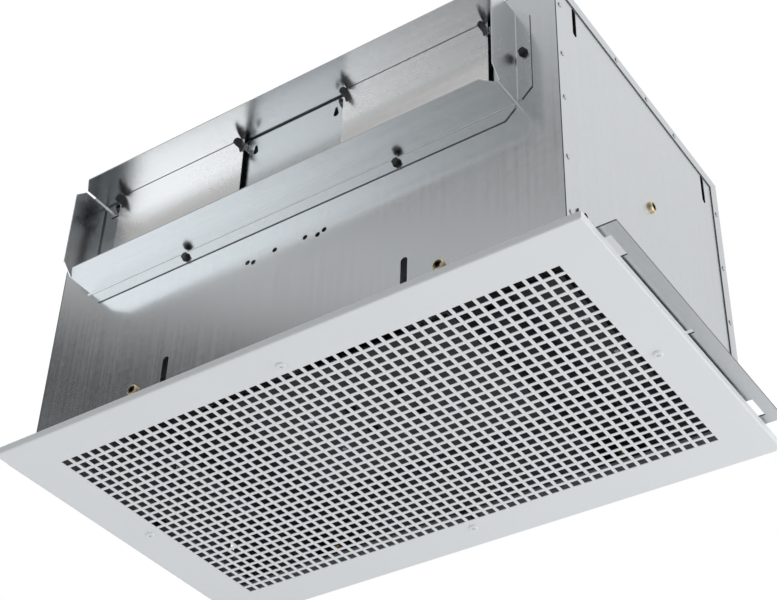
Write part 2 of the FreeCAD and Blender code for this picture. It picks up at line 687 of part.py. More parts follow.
def scroll_foot_screw_places(outer):
    """The screws of a side plate's foot, on the foot's flange, which points away from the motor."""
    plate_x = OUTLET_OUTER_X + SCROLL_SHEET if outer else OUTLET_INNER_X
    x = plate_x + SCROLL_FOOT_FLANGE / 2
    y = SCROLL_FOOT_WIDTH / 2 - SCREW_WASHER_R
    return [V(x, way * y, BASE_TOP + SCROLL_SHEET) for way in (-1, 1)]


def stay_screw_places():
    """The two screws of the right stay's feet, on the feet."""
    x = OUTLET_OUTER_X + SCROLL_SHEET + STAY_SHEET
    y = STAY_LEG_Y + STAY_SHEET + STAY_FOOT / 2
    return [V(x, way * y, SHAFT_Z) for way in (-1, 1)]


def right_scroll_plate(outer):
    """Side plate of the right casing, with its inlet mouth and its foot."""
    start = OUTLET_OUTER_X if outer else OUTLET_INNER_X
    way = 1 if outer else -1
    edges = scroll_edges(SCROLL_SHEET)
    front = Part.makeLine(
        V(0, FRONT_INNER_Y, OPENING_LOW - SCROLL_SHEET), V(0, FRONT_INNER_Y, OPENING_HIGH + SCROLL_SHEET)
    )
    outline = Part.Face(Part.Wire(Part.__sortEdges__(edges + [front])))
    plate = outline.extrude(RIGHT * way * SCROLL_SHEET)
    plate.translate(RIGHT * start)
    half = SCROLL_FOOT_WIDTH / 2
    outside = start + way * SCROLL_SHEET
    leg = block(mirrored_range(1, start, outside), (-half, half), (BASE_TOP, SHAFT_Z - INLET_R))
    toe_end = max(start, outside) + SCROLL_FOOT_FLANGE
    toe = block((min(start, outside), toe_end), (-half, half), (BASE_TOP, BASE_TOP + SCROLL_SHEET))
    axis = V(0, 0, SHAFT_Z)
    lip_end = start - way * INLET_LIP
    lip = round_bar(INLET_R + SCROLL_SHEET, axis + RIGHT * outside, axis + RIGHT * lip_end)
    mouth = round_bar(INLET_R, axis + RIGHT * (outside + way), axis + RIGHT * (lip_end - way))
    screw_r = SCREW_R + SCREW_CLEARANCE
    cuts = [mouth]
    cuts += [hole(screw_r, place, UP, 2 * SHEET) for place in scroll_foot_screw_places(outer)]
    if outer:
        cuts += [hole(screw_r, place, RIGHT, STAY_SHEET + SHEET) for place in stay_screw_places()]
    return joined([plate, leg, toe, lip]).cut(cuts)


def blower_screws():
    places = scroll_foot_screw_places(True) + scroll_foot_screw_places(False)
    right = [aimed(sheet_screw(), place, UP) for place in places]
    right += [aimed(sheet_screw(), place, RIGHT) for place in stay_screw_places()]
    return Part.makeCompound(right + [mirrored(screw) for screw in right])


# Rotor
def blade_outline():
    """One blade's section: an arc that leans the way the wheel turns."""
    inner = WHEEL_R - BLADE_DEPTH
    stations = [(inner, 0), (inner + BLADE_DEPTH / 2, BLADE_MID_SWEEP), (WHEEL_R, BLADE_SWEEP)]

    def point(radius, degrees):
        turn = math.radians(degrees)
        return V(0, radius * math.cos(turn), radius * math.sin(turn))

    shift = math.degrees(BLADE_SHEET / inner)
    near = [point(radius, degrees) for radius, degrees in stations]
    far = [point(radius, degrees + shift) for radius, degrees in stations]
    sides = [Part.Arc(*near).toShape(), Part.Arc(*far).toShape()]
    caps = [Part.makeLine(near[0], far[0]), Part.makeLine(near[2], far[2])]
    return Part.Wire(Part.__sortEdges__(sides + caps))


def right_wheel():
    start = OUTLET_MID_X - WHEEL_WIDTH / 2
    end = start + WHEEL_WIDTH
    inner = WHEEL_R - BLADE_DEPTH
    blade = Part.Face(blade_outline()).extrude(RIGHT * WHEEL_WIDTH)
    blade.translate(RIGHT * start)
    blades = []
    for i in range(BLADE_COUNT):
        copy = blade.copy()
        copy.rotate(V(0, 0, 0), RIGHT, 360 * i / BLADE_COUNT)
        blades.append(copy)
    rings = []
    for x in (start, end - WHEEL_RING):
        ring = round_bar(WHEEL_R, RIGHT * x, RIGHT * (x + WHEEL_RING))
        rings.append(ring.cut(round_bar(inner, RIGHT * x, RIGHT * (x + WHEEL_RING))))
    disc_x = OUTLET_MID_X - WHEEL_DISC / 2
    disc = round_bar(inner + WHEEL_DISC_LAP, RIGHT * disc_x, RIGHT * (disc_x + WHEEL_DISC))
    hub_x = OUTLET_MID_X - HUB_LENGTH / 2
    hub = round_bar(HUB_R, RIGHT * hub_x, RIGHT * (hub_x + HUB_LENGTH))
    wheel = disc.fuse([hub] + rings + blades)
    bore = round_bar(SHAFT_R, RIGHT * hub_x, RIGHT * (hub_x + HUB_LENGTH))
    screw_x = OUTLET_MID_X - SET_SCREW_OFFSET
    screw_hole = round_bar(SET_SCREW_R, RIGHT * screw_x, RIGHT * screw_x + UP * HUB_R)
    wheel = wheel.cut([bore, screw_hole])
    wheel.translate(UP * SHAFT_Z)
    return wheel


def hub_set_screws():
    screw_x = OUTLET_MID_X - SET_SCREW_OFFSET
    axis = V(screw_x, 0, SHAFT_Z)
    screw = round_bar(SET_SCREW_R, axis, axis + UP * HUB_R)
    shaft = round_bar(SHAFT_R, axis - RIGHT * HUB_R, axis + RIGHT * HUB_R)
    screw = screw.cut(shaft)
    return Part.makeCompound([screw, mirrored(screw)])


def motor_shaft():
    end = OUTLET_MID_X + HUB_LENGTH / 2 + SHAFT_END
    return round_bar(SHAFT_R, V(-end, 0, SHAFT_Z), V(end, 0, SHAFT_Z))


def rotor_core():
    half = CORE_LENGTH / 2
    axis = V(0, 0, SHAFT_Z)
    core = round_bar(ROTOR_R, axis - RIGHT * half, axis + RIGHT * half)
    pieces = [core]
    for side in (-1, 1):
        near = axis + RIGHT * side * half
        far = axis + RIGHT * side * (half + ROTOR_RING)
        ring = round_bar(ROTOR_R - AIR_GAP / 2, near, far)
        pieces.append(ring.cut(round_bar(ROTOR_RING_R, near, far)))
    return joined(pieces).cut(round_bar(SHAFT_R, axis - RIGHT * half, axis + RIGHT * half))


# Motor
def motor_tube(outer, inner, low, high):
    """A tube round the shaft's axis."""
    axis = V(0, 0, SHAFT_Z)
    bar = round_bar(outer, axis + RIGHT * low, axis + RIGHT * high)
    return bar.cut(round_bar(inner, axis + RIGHT * low, axis + RIGHT * high))


def motor_shell():
    return motor_tube(MOTOR_R, MOTOR_R - MOTOR_SHELL, -MOTOR_LENGTH / 2, MOTOR_LENGTH / 2)


def right_end_bell():
    rim_x = MOTOR_LENGTH / 2
    face_x = BELL_X - BELL_WALL
    bearing_x = BOSS_X - BEARING_LENGTH
    profile = [
        (rim_x, MOTOR_R),
        (rim_x + BELL_RIM, MOTOR_R),
        (BELL_X, BELL_FACE_R),
        (BELL_X, BELL_BOSS_R),
        (BOSS_X, BELL_BOSS_R),
        (BOSS_X, BEARING_R),
        (min(bearing_x, face_x), BEARING_R),
        (face_x, BELL_BOSS_R),
        (face_x, BELL_FACE_R - BELL_WALL / 2),
        (rim_x + BELL_RIM - BELL_WALL / 2, MOTOR_R - BELL_WALL),
        (rim_x, MOTOR_R - BELL_WALL),
    ]
    points = [V(x, 0, r) for x, r in profile]
    bell = Part.Face(Part.makePolygon(points + [points[0]])).revolve(V(0, 0, 0), RIGHT, 360)
    vent_r = (BELL_FACE_R + BELL_BOSS_R) / 2
    vents = []
    for i in range(BELL_VENTS):
        turn = math.radians(360 * i / BELL_VENTS)
        at = V(BELL_X, vent_r * math.cos(turn), vent_r * math.sin(turn))
        vents.append(hole(BELL_VENT_R, at, RIGHT, 2 * BELL_WALL))
    bell = bell.cut(vents)
    bell.translate(UP * SHAFT_Z)
    return bell


def motor_bearings():
    right = motor_tube(BEARING_R, SHAFT_R + BEARING_CLEARANCE, BOSS_X - BEARING_LENGTH, BOSS_X)
    return Part.makeCompound([right, mirrored(right)])


def stator_core():
    return motor_tube(MOTOR_R - MOTOR_SHELL, ROTOR_R + AIR_GAP, -CORE_LENGTH / 2, CORE_LENGTH / 2)


def motor_windings():
    low = CORE_LENGTH / 2
    right = motor_tube(WINDING_OUTER_R, WINDING_INNER_R, low, low + WINDING_DEPTH)
    right = filleted(right, WINDING_ROUND, lambda p: abs(p.x - low - WINDING_DEPTH) < WINDING_ROUND / 10)
    return Part.makeCompound([right, mirrored(right)])


def motor_rings():
    """Rubber rings on the end bells' bosses, each with a groove that sits in the cradle."""
    low = CRADLE_X - RING_FLANGE
    high = CRADLE_X + CRADLE_SHEET + RING_FLANGE
    ring = motor_tube(CRADLE_HOLE_R + RING_FLANGE, BELL_BOSS_R, low, high)
    groove = motor_tube(MOTOR_R, CRADLE_HOLE_R, CRADLE_X, CRADLE_X + CRADLE_SHEET)
    right = ring.cut(groove)
    return Part.makeCompound([right, mirrored(right)])


def cradle_bolt_places():
    y = CRADLE_DEPTH / 2 - BOLT_FLATS
    x = CRADLE_X - 2 * BOLT_FLATS
    return [V(a * x, b * y, BASE_TOP + CRADLE_SHEET) for a in (-1, 1) for b in (-1, 1)]


def channel_base_bolt_places():
    y = BASE_DEPTH / 2 - BOLT_FLATS
    return [V(a * CHANNEL_X, b * y, BASE_TOP) for a in (-1, 1) for b in (-1, 1)]


def motor_cradle():
    half = CRADLE_DEPTH / 2
    end = CRADLE_X + CRADLE_SHEET
    pieces = [block((-end, end), (-half, half), (BASE_TOP, BASE_TOP + CRADLE_SHEET))]
    rim = CRADLE_HOLE_R + CRADLE_RIM
    cuts = [hole(BOLT_R + BOLT_CLEARANCE, place, UP, 2 * CRADLE_SHEET) for place in cradle_bolt_places()]
    for side in (-1, 1):
        x = mirrored_range(side, CRADLE_X, end)
        pieces.append(block(x, (-half, half), (BASE_TOP, SHAFT_Z - rim)))
        shoulders = [(-half, SHAFT_Z - rim), (half, SHAFT_Z - rim), (rim, SHAFT_Z), (-rim, SHAFT_Z)]
        pieces.append(prism([V(x[0], y, z) for y, z in shoulders], RIGHT * CRADLE_SHEET))
        pieces.append(round_bar(rim, V(x[0], 0, SHAFT_Z), V(x[1], 0, SHAFT_Z)))
        cuts.append(round_bar(CRADLE_HOLE_R, V(x[0], 0, SHAFT_Z), V(x[1], 0, SHAFT_Z)))
    return joined(pieces).cut(cuts)


# Base plate and channels
def base_plate():
    half = BASE_DEPTH / 2
    plate = block((-BASE_HALF_WIDTH, BASE_HALF_WIDTH), (-half, half), (CHANNEL_TOP_Z, BASE_TOP))
    bolts = cradle_bolt_places() + channel_base_bolt_places()
    cuts = [hole(BOLT_R + BOLT_CLEARANCE, place, UP, 4 * BASE_SHEET) for place in bolts]
    feet = scroll_foot_screw_places(True) + scroll_foot_screw_places(False)
    for place in feet + [V(-p.x, p.y, p.z) for p in feet]:
        cuts.append(hole(SCREW_R + SCREW_CLEARANCE, place, UP, 4 * BASE_SHEET))
    cuts += [hole(SCREW_R + SCREW_CLEARANCE, place, UP, 4 * BASE_SHEET) for place in strap_screw_places()]
    return plate.cut(cuts)


def base_bolts():
    cradle = [aimed(hex_bolt(CRADLE_SHEET + BASE_SHEET), place, UP) for place in cradle_bolt_places()]
    channel = [aimed(hex_bolt(BASE_SHEET + CHANNEL_SHEET), place, UP) for place in channel_base_bolt_places()]
    return Part.makeCompound(cradle + channel)


def right_channel():
    """Channel from the front wall to the back wall, open below, with a tab at each end for its bolt."""
    half = CHANNEL_WIDTH / 2
    low = CHANNEL_TOP_Z - CHANNEL_HEIGHT
    x = (CHANNEL_X - half, CHANNEL_X + half)
    y = (FRONT_INNER_Y, BACK_INNER_Y)
    outside = block(x, y, (low, CHANNEL_TOP_Z))
    hollow = block(
        (x[0] + CHANNEL_SHEET, x[1] - CHANNEL_SHEET),
        (y[0] + CHANNEL_SHEET, y[1] - CHANNEL_SHEET),
        (low, CHANNEL_TOP_Z - CHANNEL_SHEET),
    )
    depth = 2 * (SHEET + CHANNEL_SHEET)
    cuts = [hole(BOLT_R + BOLT_CLEARANCE, p, BACK, depth) for e in (-1, 1) for p in channel_bolt_places(e)]
    cuts += [hole(BOLT_R + BOLT_CLEARANCE, p, UP, depth + BASE_SHEET) for p in channel_base_bolt_places()]
    return outside.cut([hollow] + cuts)


def support_bolts():
    """Yellow-zinc bolts: the channels' ends on the front and back walls, and the stays on the side walls."""
    pieces = []
    for end in (-1, 1):
        bolt = support_bolt(SHEET + CHANNEL_SHEET)
        pieces += [aimed(bolt, place, BACK * end) for place in channel_bolt_places(end)]
    for side in (-1, 1):
        pieces.append(aimed(support_bolt(SHEET + STAY_SHEET), V(side * HALF_WIDTH, 0, SHAFT_Z), RIGHT * side))
    return Part.makeCompound(pieces)


def right_stay():
    """Hat-shaped stay from the casing's outer plate to the side wall, bridging the inlet."""
    z = (SHAFT_Z - STAY_WIDTH / 2, SHAFT_Z + STAY_WIDTH / 2)
    plate_x = OUTLET_OUTER_X + SCROLL_SHEET
    leg = STAY_LEG_Y + STAY_SHEET
    pieces = [block((INNER_X - STAY_SHEET, INNER_X), (-leg, leg), z)]
    for side in (-1, 1):
        foot_y = mirrored_range(side, STAY_LEG_Y, leg + STAY_FOOT)
        pieces.append(block((plate_x, INNER_X), mirrored_range(side, STAY_LEG_Y, leg), z))
        pieces.append(block((plate_x, plate_x + STAY_SHEET), foot_y, z))
    cuts = [hole(BOLT_R + BOLT_CLEARANCE, V(INNER_X, 0, SHAFT_Z), RIGHT, 2 * STAY_SHEET)]
    cuts += [hole(SCREW_R + SCREW_CLEARANCE, place, RIGHT, 2 * STAY_SHEET) for place in stay_screw_places()]
    return joined(pieces).cut(cuts)


# Capacitor
def capacitor():
    z = BASE_TOP + CAPACITOR_R
    half = CAPACITOR_LENGTH / 2
    can = round_bar(CAPACITOR_R, V(-half, CAPACITOR_Y, z), V(half, CAPACITOR_Y, z))
    can = filleted(can, 2 * STRAP_SHEET, lambda p: abs(abs(p.x) - half) < STRAP_SHEET / 10)
    pins = []
    for way in (-1, 1):
        base = V(half, CAPACITOR_Y + way * CAPACITOR_R / 2, z)
        pins.append(round_bar(CAPACITOR_TERMINAL_R, base, base + RIGHT * CAPACITOR_TERMINAL))
    return joined([can] + pins)


def strap_screw_places():
    y = CAPACITOR_R + STRAP_SHEET + STRAP_FOOT / 2
    return [V(0, CAPACITOR_Y + way * y, BASE_TOP + STRAP_SHEET) for way in (-1, 1)]


def capacitor_strap():
    """Strap over the capacitor with a foot on each side, screwed to the base plate."""
    z = BASE_TOP + CAPACITOR_R
    half = STRAP_WIDTH / 2
    outer = CAPACITOR_R + STRAP_SHEET
    x = (-half, half)
    arch = round_bar(outer, V(-half, CAPACITOR_Y, z), V(half, CAPACITOR_Y, z))
    legs = block(x, (CAPACITOR_Y - outer, CAPACITOR_Y + outer), (BASE_TOP, z))
    reach = outer + STRAP_FOOT
    feet = block(x, (CAPACITOR_Y - reach, CAPACITOR_Y + reach), (BASE_TOP, BASE_TOP + STRAP_SHEET))
    can = round_bar(CAPACITOR_R, V(-half, CAPACITOR_Y, z), V(half, CAPACITOR_Y, z))
    inside = block(x, (CAPACITOR_Y - CAPACITOR_R, CAPACITOR_Y + CAPACITOR_R), (BASE_TOP, z))
    below = block(x, (CAPACITOR_Y - reach, CAPACITOR_Y + reach), (BASE_TOP - outer, BASE_TOP))
    cuts = [can, inside, below]
    cuts += [hole(SCREW_R + SCREW_CLEARANCE, place, UP, 2 * SHEET) for place in strap_screw_places()]
    return joined([arch, legs, feet]).cut(cuts)


def strap_screws():
    return Part.makeCompound([aimed(sheet_screw(), place, UP) for place in strap_screw_places()])


# Wiring box
def box_ranges():
    """The wiring box's outside: on the left wall, high up beside the back slot."""
    x = (-INNER_X, -INNER_X + BOX_DEPTH)
    high_y = SLOT_OFFSET - SLOT_WIDTH / 2 - BOX_SLOT_GAP
    high_z = ROOF_Z - BOX_TOP_GAP
    return x, (high_y - BOX_WIDTH, high_y), (high_z - BOX_HEIGHT, high_z)


def entry_place():
    """The supply entry, in the middle of the box's back."""
    _, y, z = box_ranges()
    return V(-HALF_WIDTH, sum(y) / 2, sum(z) / 2)


def box_rivet_places():
    _, y, z = box_ranges()
    inset = 4 * RIVET_HEAD_R
    middle = sum(z) / 2
    return [V(-HALF_WIDTH, y[0] + inset, middle), V(-HALF_WIDTH, y[1] - inset, middle)]


def box_screw_places():
    """The cover's screws, on the underside of the cover's sheet."""
    x, y, z = box_ranges()
    inset = SHEET + BOX_COVER_LAP / 2 + SCREW_R
    middle = sum(x) / 2
    return [V(middle, y[0] + inset, z[0] - SHEET), V(middle, y[1] - inset, z[0] - SHEET)]


def socket_ranges():
    """The motor's socket, on the box's front side."""
    x, y, z = box_ranges()
    mid_x = sum(x) / 2
    mid_z = sum(z) / 2
    half_width = SOCKET_WIDTH / 2
    half_height = SOCKET_HEIGHT / 2
    return (mid_x - half_width, mid_x + half_width), y[0], (mid_z - half_height, mid_z + half_height)


def wiring_box():
    x, y, z = box_ranges()
    shell = block(x, y, z)
    hollow = block((x[0] + SHEET, x[1] - SHEET), (y[0] + SHEET, y[1] - SHEET), (z[0], z[1] - SHEET))
    lap = BOX_COVER_LAP + 2 * SCREW_R
    ledge_x = (x[0] + SHEET, x[1] - SHEET)
    ledges = [
        block(ledge_x, (y[0] + SHEET, y[0] + SHEET + lap), (z[0], z[0] + SHEET)),
        block(ledge_x, (y[1] - SHEET - lap, y[1] - SHEET), (z[0], z[0] + SHEET)),
    ]
    socket_x, socket_y, socket_z = socket_ranges()
    cuts = [block(socket_x, (socket_y, socket_y + SHEET), socket_z)]
    cuts.append(hole(ENTRY_R, entry_place(), RIGHT, 3 * SHEET))
    cuts += [hole(RIVET_R + RIVET_CLEARANCE, place, RIGHT, 3 * SHEET) for place in box_rivet_places()]
    cuts += [hole(SCREW_R + SCREW_CLEARANCE, place, UP, 3 * SHEET) for place in box_screw_places()]
    return joined([shell.cut(hollow)] + ledges).cut(cuts)


def wiring_cover():
    x, y, z = box_ranges()
    plate = block(x, y, (z[0] - SHEET, z[0]))
    skirt = block((x[1], x[1] + SHEET), y, (z[0] - SHEET, z[0] + BOX_COVER_LAP))
    cuts = [hole(SCREW_R + SCREW_CLEARANCE, place, UP, 2 * SHEET) for place in box_screw_places()]
    return joined([plate, skirt]).cut(cuts)


def wiring_screws():
    return Part.makeCompound([aimed(sheet_screw(), place, UP * -1) for place in box_screw_places()])


def motor_socket():
    """Panel socket for the motor's plug: a body through the box's side, with a flange and three pin slots."""
    x, y, z = socket_ranges()
    body = block(x, (y - SHEET, y + SOCKET_DEPTH), z)
    lip = 2 * SHEET
    flange = block((x[0] - lip, x[1] + lip), (y - SHEET, y), (z[0] - lip, z[1] + lip))
    mid_x = sum(x) / 2
    mid_z = sum(z) / 2
    cuts = []
    for i in (-1, 0, 1):
        centre = mid_x + i * SOCKET_PIN_PITCH
        pin_x = (centre - SOCKET_PIN_WIDTH / 2, centre + SOCKET_PIN_WIDTH / 2)
        pin_z = (mid_z - SOCKET_PIN_HEIGHT / 2, mid_z + SOCKET_PIN_HEIGHT / 2)
        cuts.append(block(pin_x, (y - SHEET, y + SOCKET_DEPTH / 2), pin_z))
    return joined([body, flange]).cut(cuts)


# Grille
def grille():
    x = (GRILLE_SHIFT_X - GRILLE_WIDTH / 2, GRILLE_SHIFT_X + GRILLE_WIDTH / 2)
    y = (GRILLE_SHIFT_Y - GRILLE_DEPTH / 2, GRILLE_SHIFT_Y + GRILLE_DEPTH / 2)
    tray_z = (GRILLE_BOTTOM, GRILLE_BOTTOM + GRILLE_LIP)
    tray = block(x, y, tray_z)
    tray = filleted(tray, GRILLE_BEND, lambda p: p.z < GRILLE_BOTTOM + GRILLE_LIP / 10)
    inner_x = (x[0] + GRILLE_SHEET, x[1] - GRILLE_SHEET)
    inner_y = (y[0] + GRILLE_SHEET, y[1] - GRILLE_SHEET)
    pocket = block(inner_x, inner_y, (GRILLE_TOP, tray_z[1]))
    inside_bend = GRILLE_BEND - GRILLE_SHEET
    pocket = filleted(pocket, inside_bend, lambda p: p.z < GRILLE_TOP + inside_bend / 10)
    field_x = HOLE_COLUMNS * HOLE_PITCH / 2
    field_y = HOLE_ROWS * HOLE_PITCH / 2
    window = block((-field_x, field_x), (-field_y, field_y), (GRILLE_BOTTOM, GRILLE_TOP))
    radius = SCREW_R + GRILLE_HOLE_CLEARANCE
    screws = [hole(radius, place, UP, 2 * GRILLE_DROP) for place, _ in grille_screw_places()]
    frame = tray.cut([pocket, window] + screws)

    def outline(x, y, half_width, half_depth):
        """A rectangle on the tray's underside: a negative width turns its winding round, as a hole's."""
        signs = [(-1, -1), (1, -1), (1, 1), (-1, 1)]
        points = [V(x + a * half_width, y + b * half_depth, GRILLE_BOTTOM) for a, b in signs]
        return Part.makePolygon(points + [points[0]])

    outlines = [outline(0, 0, field_x, field_y)]
    for column in range(HOLE_COLUMNS):
        x = (column - (HOLE_COLUMNS - 1) / 2) * HOLE_PITCH
        for row in range(HOLE_ROWS):
            y = (row - (HOLE_ROWS - 1) / 2) * HOLE_PITCH
            outlines.append(outline(x, y, -HOLE_SIZE / 2, HOLE_SIZE / 2))
    mesh = Part.Face(outlines).extrude(UP * GRILLE_SHEET)
    return frame.fuse(mesh)


def grille_screws():
    """White round-headed screws from below the grille up through the spring clips."""
    length = GRILLE_DROP + SHEET + CLIP_SHEET + CLIP_BOSS + GRILLE_SCREW_TAIL
    head = Part.makeCylinder(GRILLE_SCREW_HEAD_R, GRILLE_SCREW_HEAD)
    head = head.makeFillet(GRILLE_SCREW_ROUND, [head.Edges[0]])
    screw = joined([head, Part.makeCylinder(SCREW_R, length, V(0, 0, -length))])
    places = [place + UP * GRILLE_BOTTOM for place, _ in grille_screw_places()]
    return Part.makeCompound([aimed(screw, place, UP * -1) for place in places])


def grille_clips():
    """Spring clips folded over the foot flanges' edges, with a threaded boss for the grille's screws."""
    clips = []
    for place, way in grille_screw_places():
        wall = HALF_WIDTH if abs(way.x) > 0.5 else HALF_DEPTH
        edge = wall - FOOT_FLANGE
        low = V(0, 0, -CLIP_SHEET)
        across = way.cross(UP) * (CLIP_WIDTH / 2)
        bend = way * (edge - CLIP_SHEET)
        tip = bend + way * CLIP_LENGTH
        outline = [bend - across, bend + across, tip + across, tip - across]
        body = prism([point + low for point in outline], UP * (SHEET + 2 * CLIP_SHEET))
        inner = [way * edge - across, way * edge + across, tip + across, tip - across]
        gap = prism(inner, UP * SHEET)
        boss_start = place + UP * (SHEET + CLIP_SHEET)
        boss = round_bar(CLIP_BOSS_R, boss_start, boss_start + UP * CLIP_BOSS)
        thread = hole(SCREW_R + CLIP_CLEARANCE, place, UP, GRILLE_DROP)
        clips.append(joined([body.cut(gap), boss]).cut(thread))
    return Part.makeCompound(clips)


# Mounting rails
def rail_bolt_places():
    """The right rail's bolts, on the outside of its upright leg."""
    return [V(HALF_WIDTH + RAIL_SHEET, way * SLOT_OFFSET, SLOT_LOW_Z) for way in (-1, 1)]


def right_rail():
    """An angle whose shelf has a window under each of its bolts and a tab with a ceiling hole at each end."""
    outer = HALF_WIDTH + RAIL_WIDTH
    strip = outer - RAIL_STRIP
    half = RAIL_LENGTH / 2
    leg_half = RAIL_LEG_LENGTH / 2
    shelf = block((HALF_WIDTH, outer), (-half, half), (0, RAIL_SHEET))
    leg = block((HALF_WIDTH, HALF_WIDTH + RAIL_SHEET), (-leg_half, leg_half), (0, RAIL_HEIGHT))
    rail = joined([shelf, leg])
    inner = HALF_WIDTH + 2 * RAIL_SHEET
    cuts = [block((inner, strip), (-RAIL_SLIT / 2, RAIL_SLIT / 2), (0, RAIL_SHEET))]
    for way in (-1, 1):
        cuts.append(block((HALF_WIDTH, inner), mirrored_range(way, leg_half, half), (0, RAIL_SHEET)))
        cuts.append(block((inner, strip), mirrored_range(way, *RAIL_WINDOW), (0, RAIL_SHEET)))
        cuts.append(hole(RAIL_HOLE_R, V(RAIL_HOLE_PLACE, way * RAIL_HOLE_Y, 0), UP, 2 * RAIL_SHEET))
    cuts += [hole(BOLT_R + BOLT_CLEARANCE, place, RIGHT, 2 * RAIL_SHEET) for place in rail_bolt_places()]
    return rail.cut(cuts)


def right_rail_bolts():
    """Hex bolts through the rail and the wall's slots, each with a wide washer and a nut inside."""
    grip = RAIL_SHEET + SHEET + RAIL_WASHER
    washer = Part.makeCylinder(RAIL_WASHER_R, RAIL_WASHER, V(0, 0, -grip))
    washer = washer.cut(Part.makeCylinder(BOLT_R, RAIL_WASHER, V(0, 0, -grip)))
    bolt = Part.makeCompound(hex_bolt(grip).Solids + [washer])
    return Part.makeCompound([aimed(bolt, place, RIGHT) for place in rail_bolt_places()])


def left_and_right(name, shape):
    """A right-hand piece and its mirror, under their two names."""
    return {"right_" + name: shape, "left_" + name: mirrored(shape)}


parts = {
    "front_panel": front_panel(),
    "back_panel": back_panel(),
    "left_panel": side_panel(-1),
    "right_panel": side_panel(1),
    "top_panel": top_panel(),
    "housing_rivets": housing_rivets(),
    "collar_screws": collar_screws(),
    "outlet_divider": outlet_divider(),
    "hinge_lugs": hinge_lugs(),
    "flap_seals": flap_seals(),
    "blower_screws": blower_screws(),
    "hub_set_screws": hub_set_screws(),
    "motor_shaft": motor_shaft(),
    "rotor_core": rotor_core(),
    "motor_shell": motor_shell(),
    "motor_bearings": motor_bearings(),
    "stator_core": stator_core(),
    "motor_windings": motor_windings(),
    "motor_rings": motor_rings(),
    "motor_cradle": motor_cradle(),
    "base_plate": base_plate(),
    "base_bolts": base_bolts(),
    "support_bolts": support_bolts(),
    "capacitor": capacitor(),
    "capacitor_strap": capacitor_strap(),
    "strap_screws": strap_screws(),
    "wiring_box": wiring_box(),
    "wiring_cover": wiring_cover(),
    "wiring_screws": wiring_screws(),
    "motor_socket": motor_socket(),
    "grille": grille(),
    "grille_screws": grille_screws(),
    "grille_clips": grille_clips(),
}
parts.update(collar())
parts.update(left_and_right("flap", right_flap()))
parts.update(left_and_right("hinge_rod", right_hinge_rod()))
parts.update(left_and_right("scroll_wrapper", right_scroll_wrapper()))
parts.update(left_and_right("scroll_inner_plate", right_scroll_plate(False)))
parts.update(left_and_right("scroll_outer_plate", right_scroll_plate(True)))
parts.update(left_and_right("wheel", right_wheel()))
parts.update(left_and_right("end_bell", right_end_bell()))
parts.update(left_and_right("channel", right_channel()))
parts.update(left_and_right("stay", right_stay()))
parts.update(left_and_right("rail", right_rail()))
parts.update(left_and_right("rail_bolts", right_rail_bolts()))

os.makedirs("parts", exist_ok=True)
for name, shape in parts.items():
    shape.exportStep("parts/" + name + ".step")
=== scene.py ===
import json
import math

import bmesh
import bpy
from mathutils import Matrix, Vector


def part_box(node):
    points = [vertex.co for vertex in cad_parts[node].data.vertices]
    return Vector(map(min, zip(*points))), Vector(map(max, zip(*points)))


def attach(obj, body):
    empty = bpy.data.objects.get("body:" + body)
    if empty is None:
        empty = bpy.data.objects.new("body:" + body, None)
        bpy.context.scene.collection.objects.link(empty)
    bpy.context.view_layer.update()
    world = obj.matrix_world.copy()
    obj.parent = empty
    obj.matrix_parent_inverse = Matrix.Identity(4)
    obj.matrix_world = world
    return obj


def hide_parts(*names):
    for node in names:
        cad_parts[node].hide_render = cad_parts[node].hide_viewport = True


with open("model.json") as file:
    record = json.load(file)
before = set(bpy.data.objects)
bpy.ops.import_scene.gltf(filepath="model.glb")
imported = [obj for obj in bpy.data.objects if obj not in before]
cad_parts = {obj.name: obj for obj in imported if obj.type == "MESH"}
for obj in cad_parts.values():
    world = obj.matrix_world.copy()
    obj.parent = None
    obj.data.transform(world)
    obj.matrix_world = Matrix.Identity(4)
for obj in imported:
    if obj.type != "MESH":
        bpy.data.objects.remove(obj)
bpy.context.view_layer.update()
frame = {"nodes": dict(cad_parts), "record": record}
body_of_node = {}
for body, members in frame["record"]["behaviour"]["bodies"].items():
    body_of_node.update({member: body for member in members})

# Front panel: one sheet of galvanised steel, cut for the outlet, the hanger slots and the screw holes and
# folded inwards along its edges. The mill leaves a soft mirror with faint rolling lines, and the shears leave
# bare steel along the cut edges, painted darker as shade of the gaps along them. Its inside gets a near-black
# finish, painted shade for the dark inside of the housing.
SHEET = 0.001
SHEET_EDGE = 0.00022
OUTER_SKIN = 0.0006
ZINC_TONE = (0.60, 0.622, 0.638)
ZINC_RELIEF = 0.000003
CRYSTAL_PITCH = 0.006
CRYSTAL_SHADES = (0.96, 1.04)
CRYSTAL_DULLNESS = (-0.02, 0.02)
ROLLING_LINE_PITCH = 0.0034
ROLLING_LINE_REACH = 0.35
ROLLING_LINE_SHADES = (0.955, 1.045)
ROLLING_LINE_DULLNESS = (-0.03, 0.03)
SMEAR_PITCH = 0.13
SMEAR_SHADES = (0.96, 1.04)
SMEAR_DULLNESS = (-0.04, 0.04)
INSIDE_SHADE_GRAIN = 0.0011
MERGE_REACH = 0.000002
FLAT_TURN = math.radians(0.5)
CORNER_TURN = math.radians(35)
SMOOTH_TURN = math.radians(40)
CUT_EDGE_WIDTH = 1.1
CUT_EDGE_CORNERS = 0.15


def place(tree, kind, sockets, **settings):
    """A shader node with its settings made and its sockets set to a value or joined to another node."""
    made = tree.nodes.new(kind)
    for name, value in settings.items():
        setattr(made, name, value)
    for name, value in sockets.items():
        if isinstance(value, bpy.types.NodeSocket):
            tree.links.new(value, made.inputs[name])
        else:
            made.inputs[name].default_value = value
    return made


def spread(tree, value, low, high):
    """A pattern's 0 to 1 spread between two levels."""
    return place(tree, "ShaderNodeMapRange", {"Value": value, "To Min": low, "To Max": high}).outputs[0]


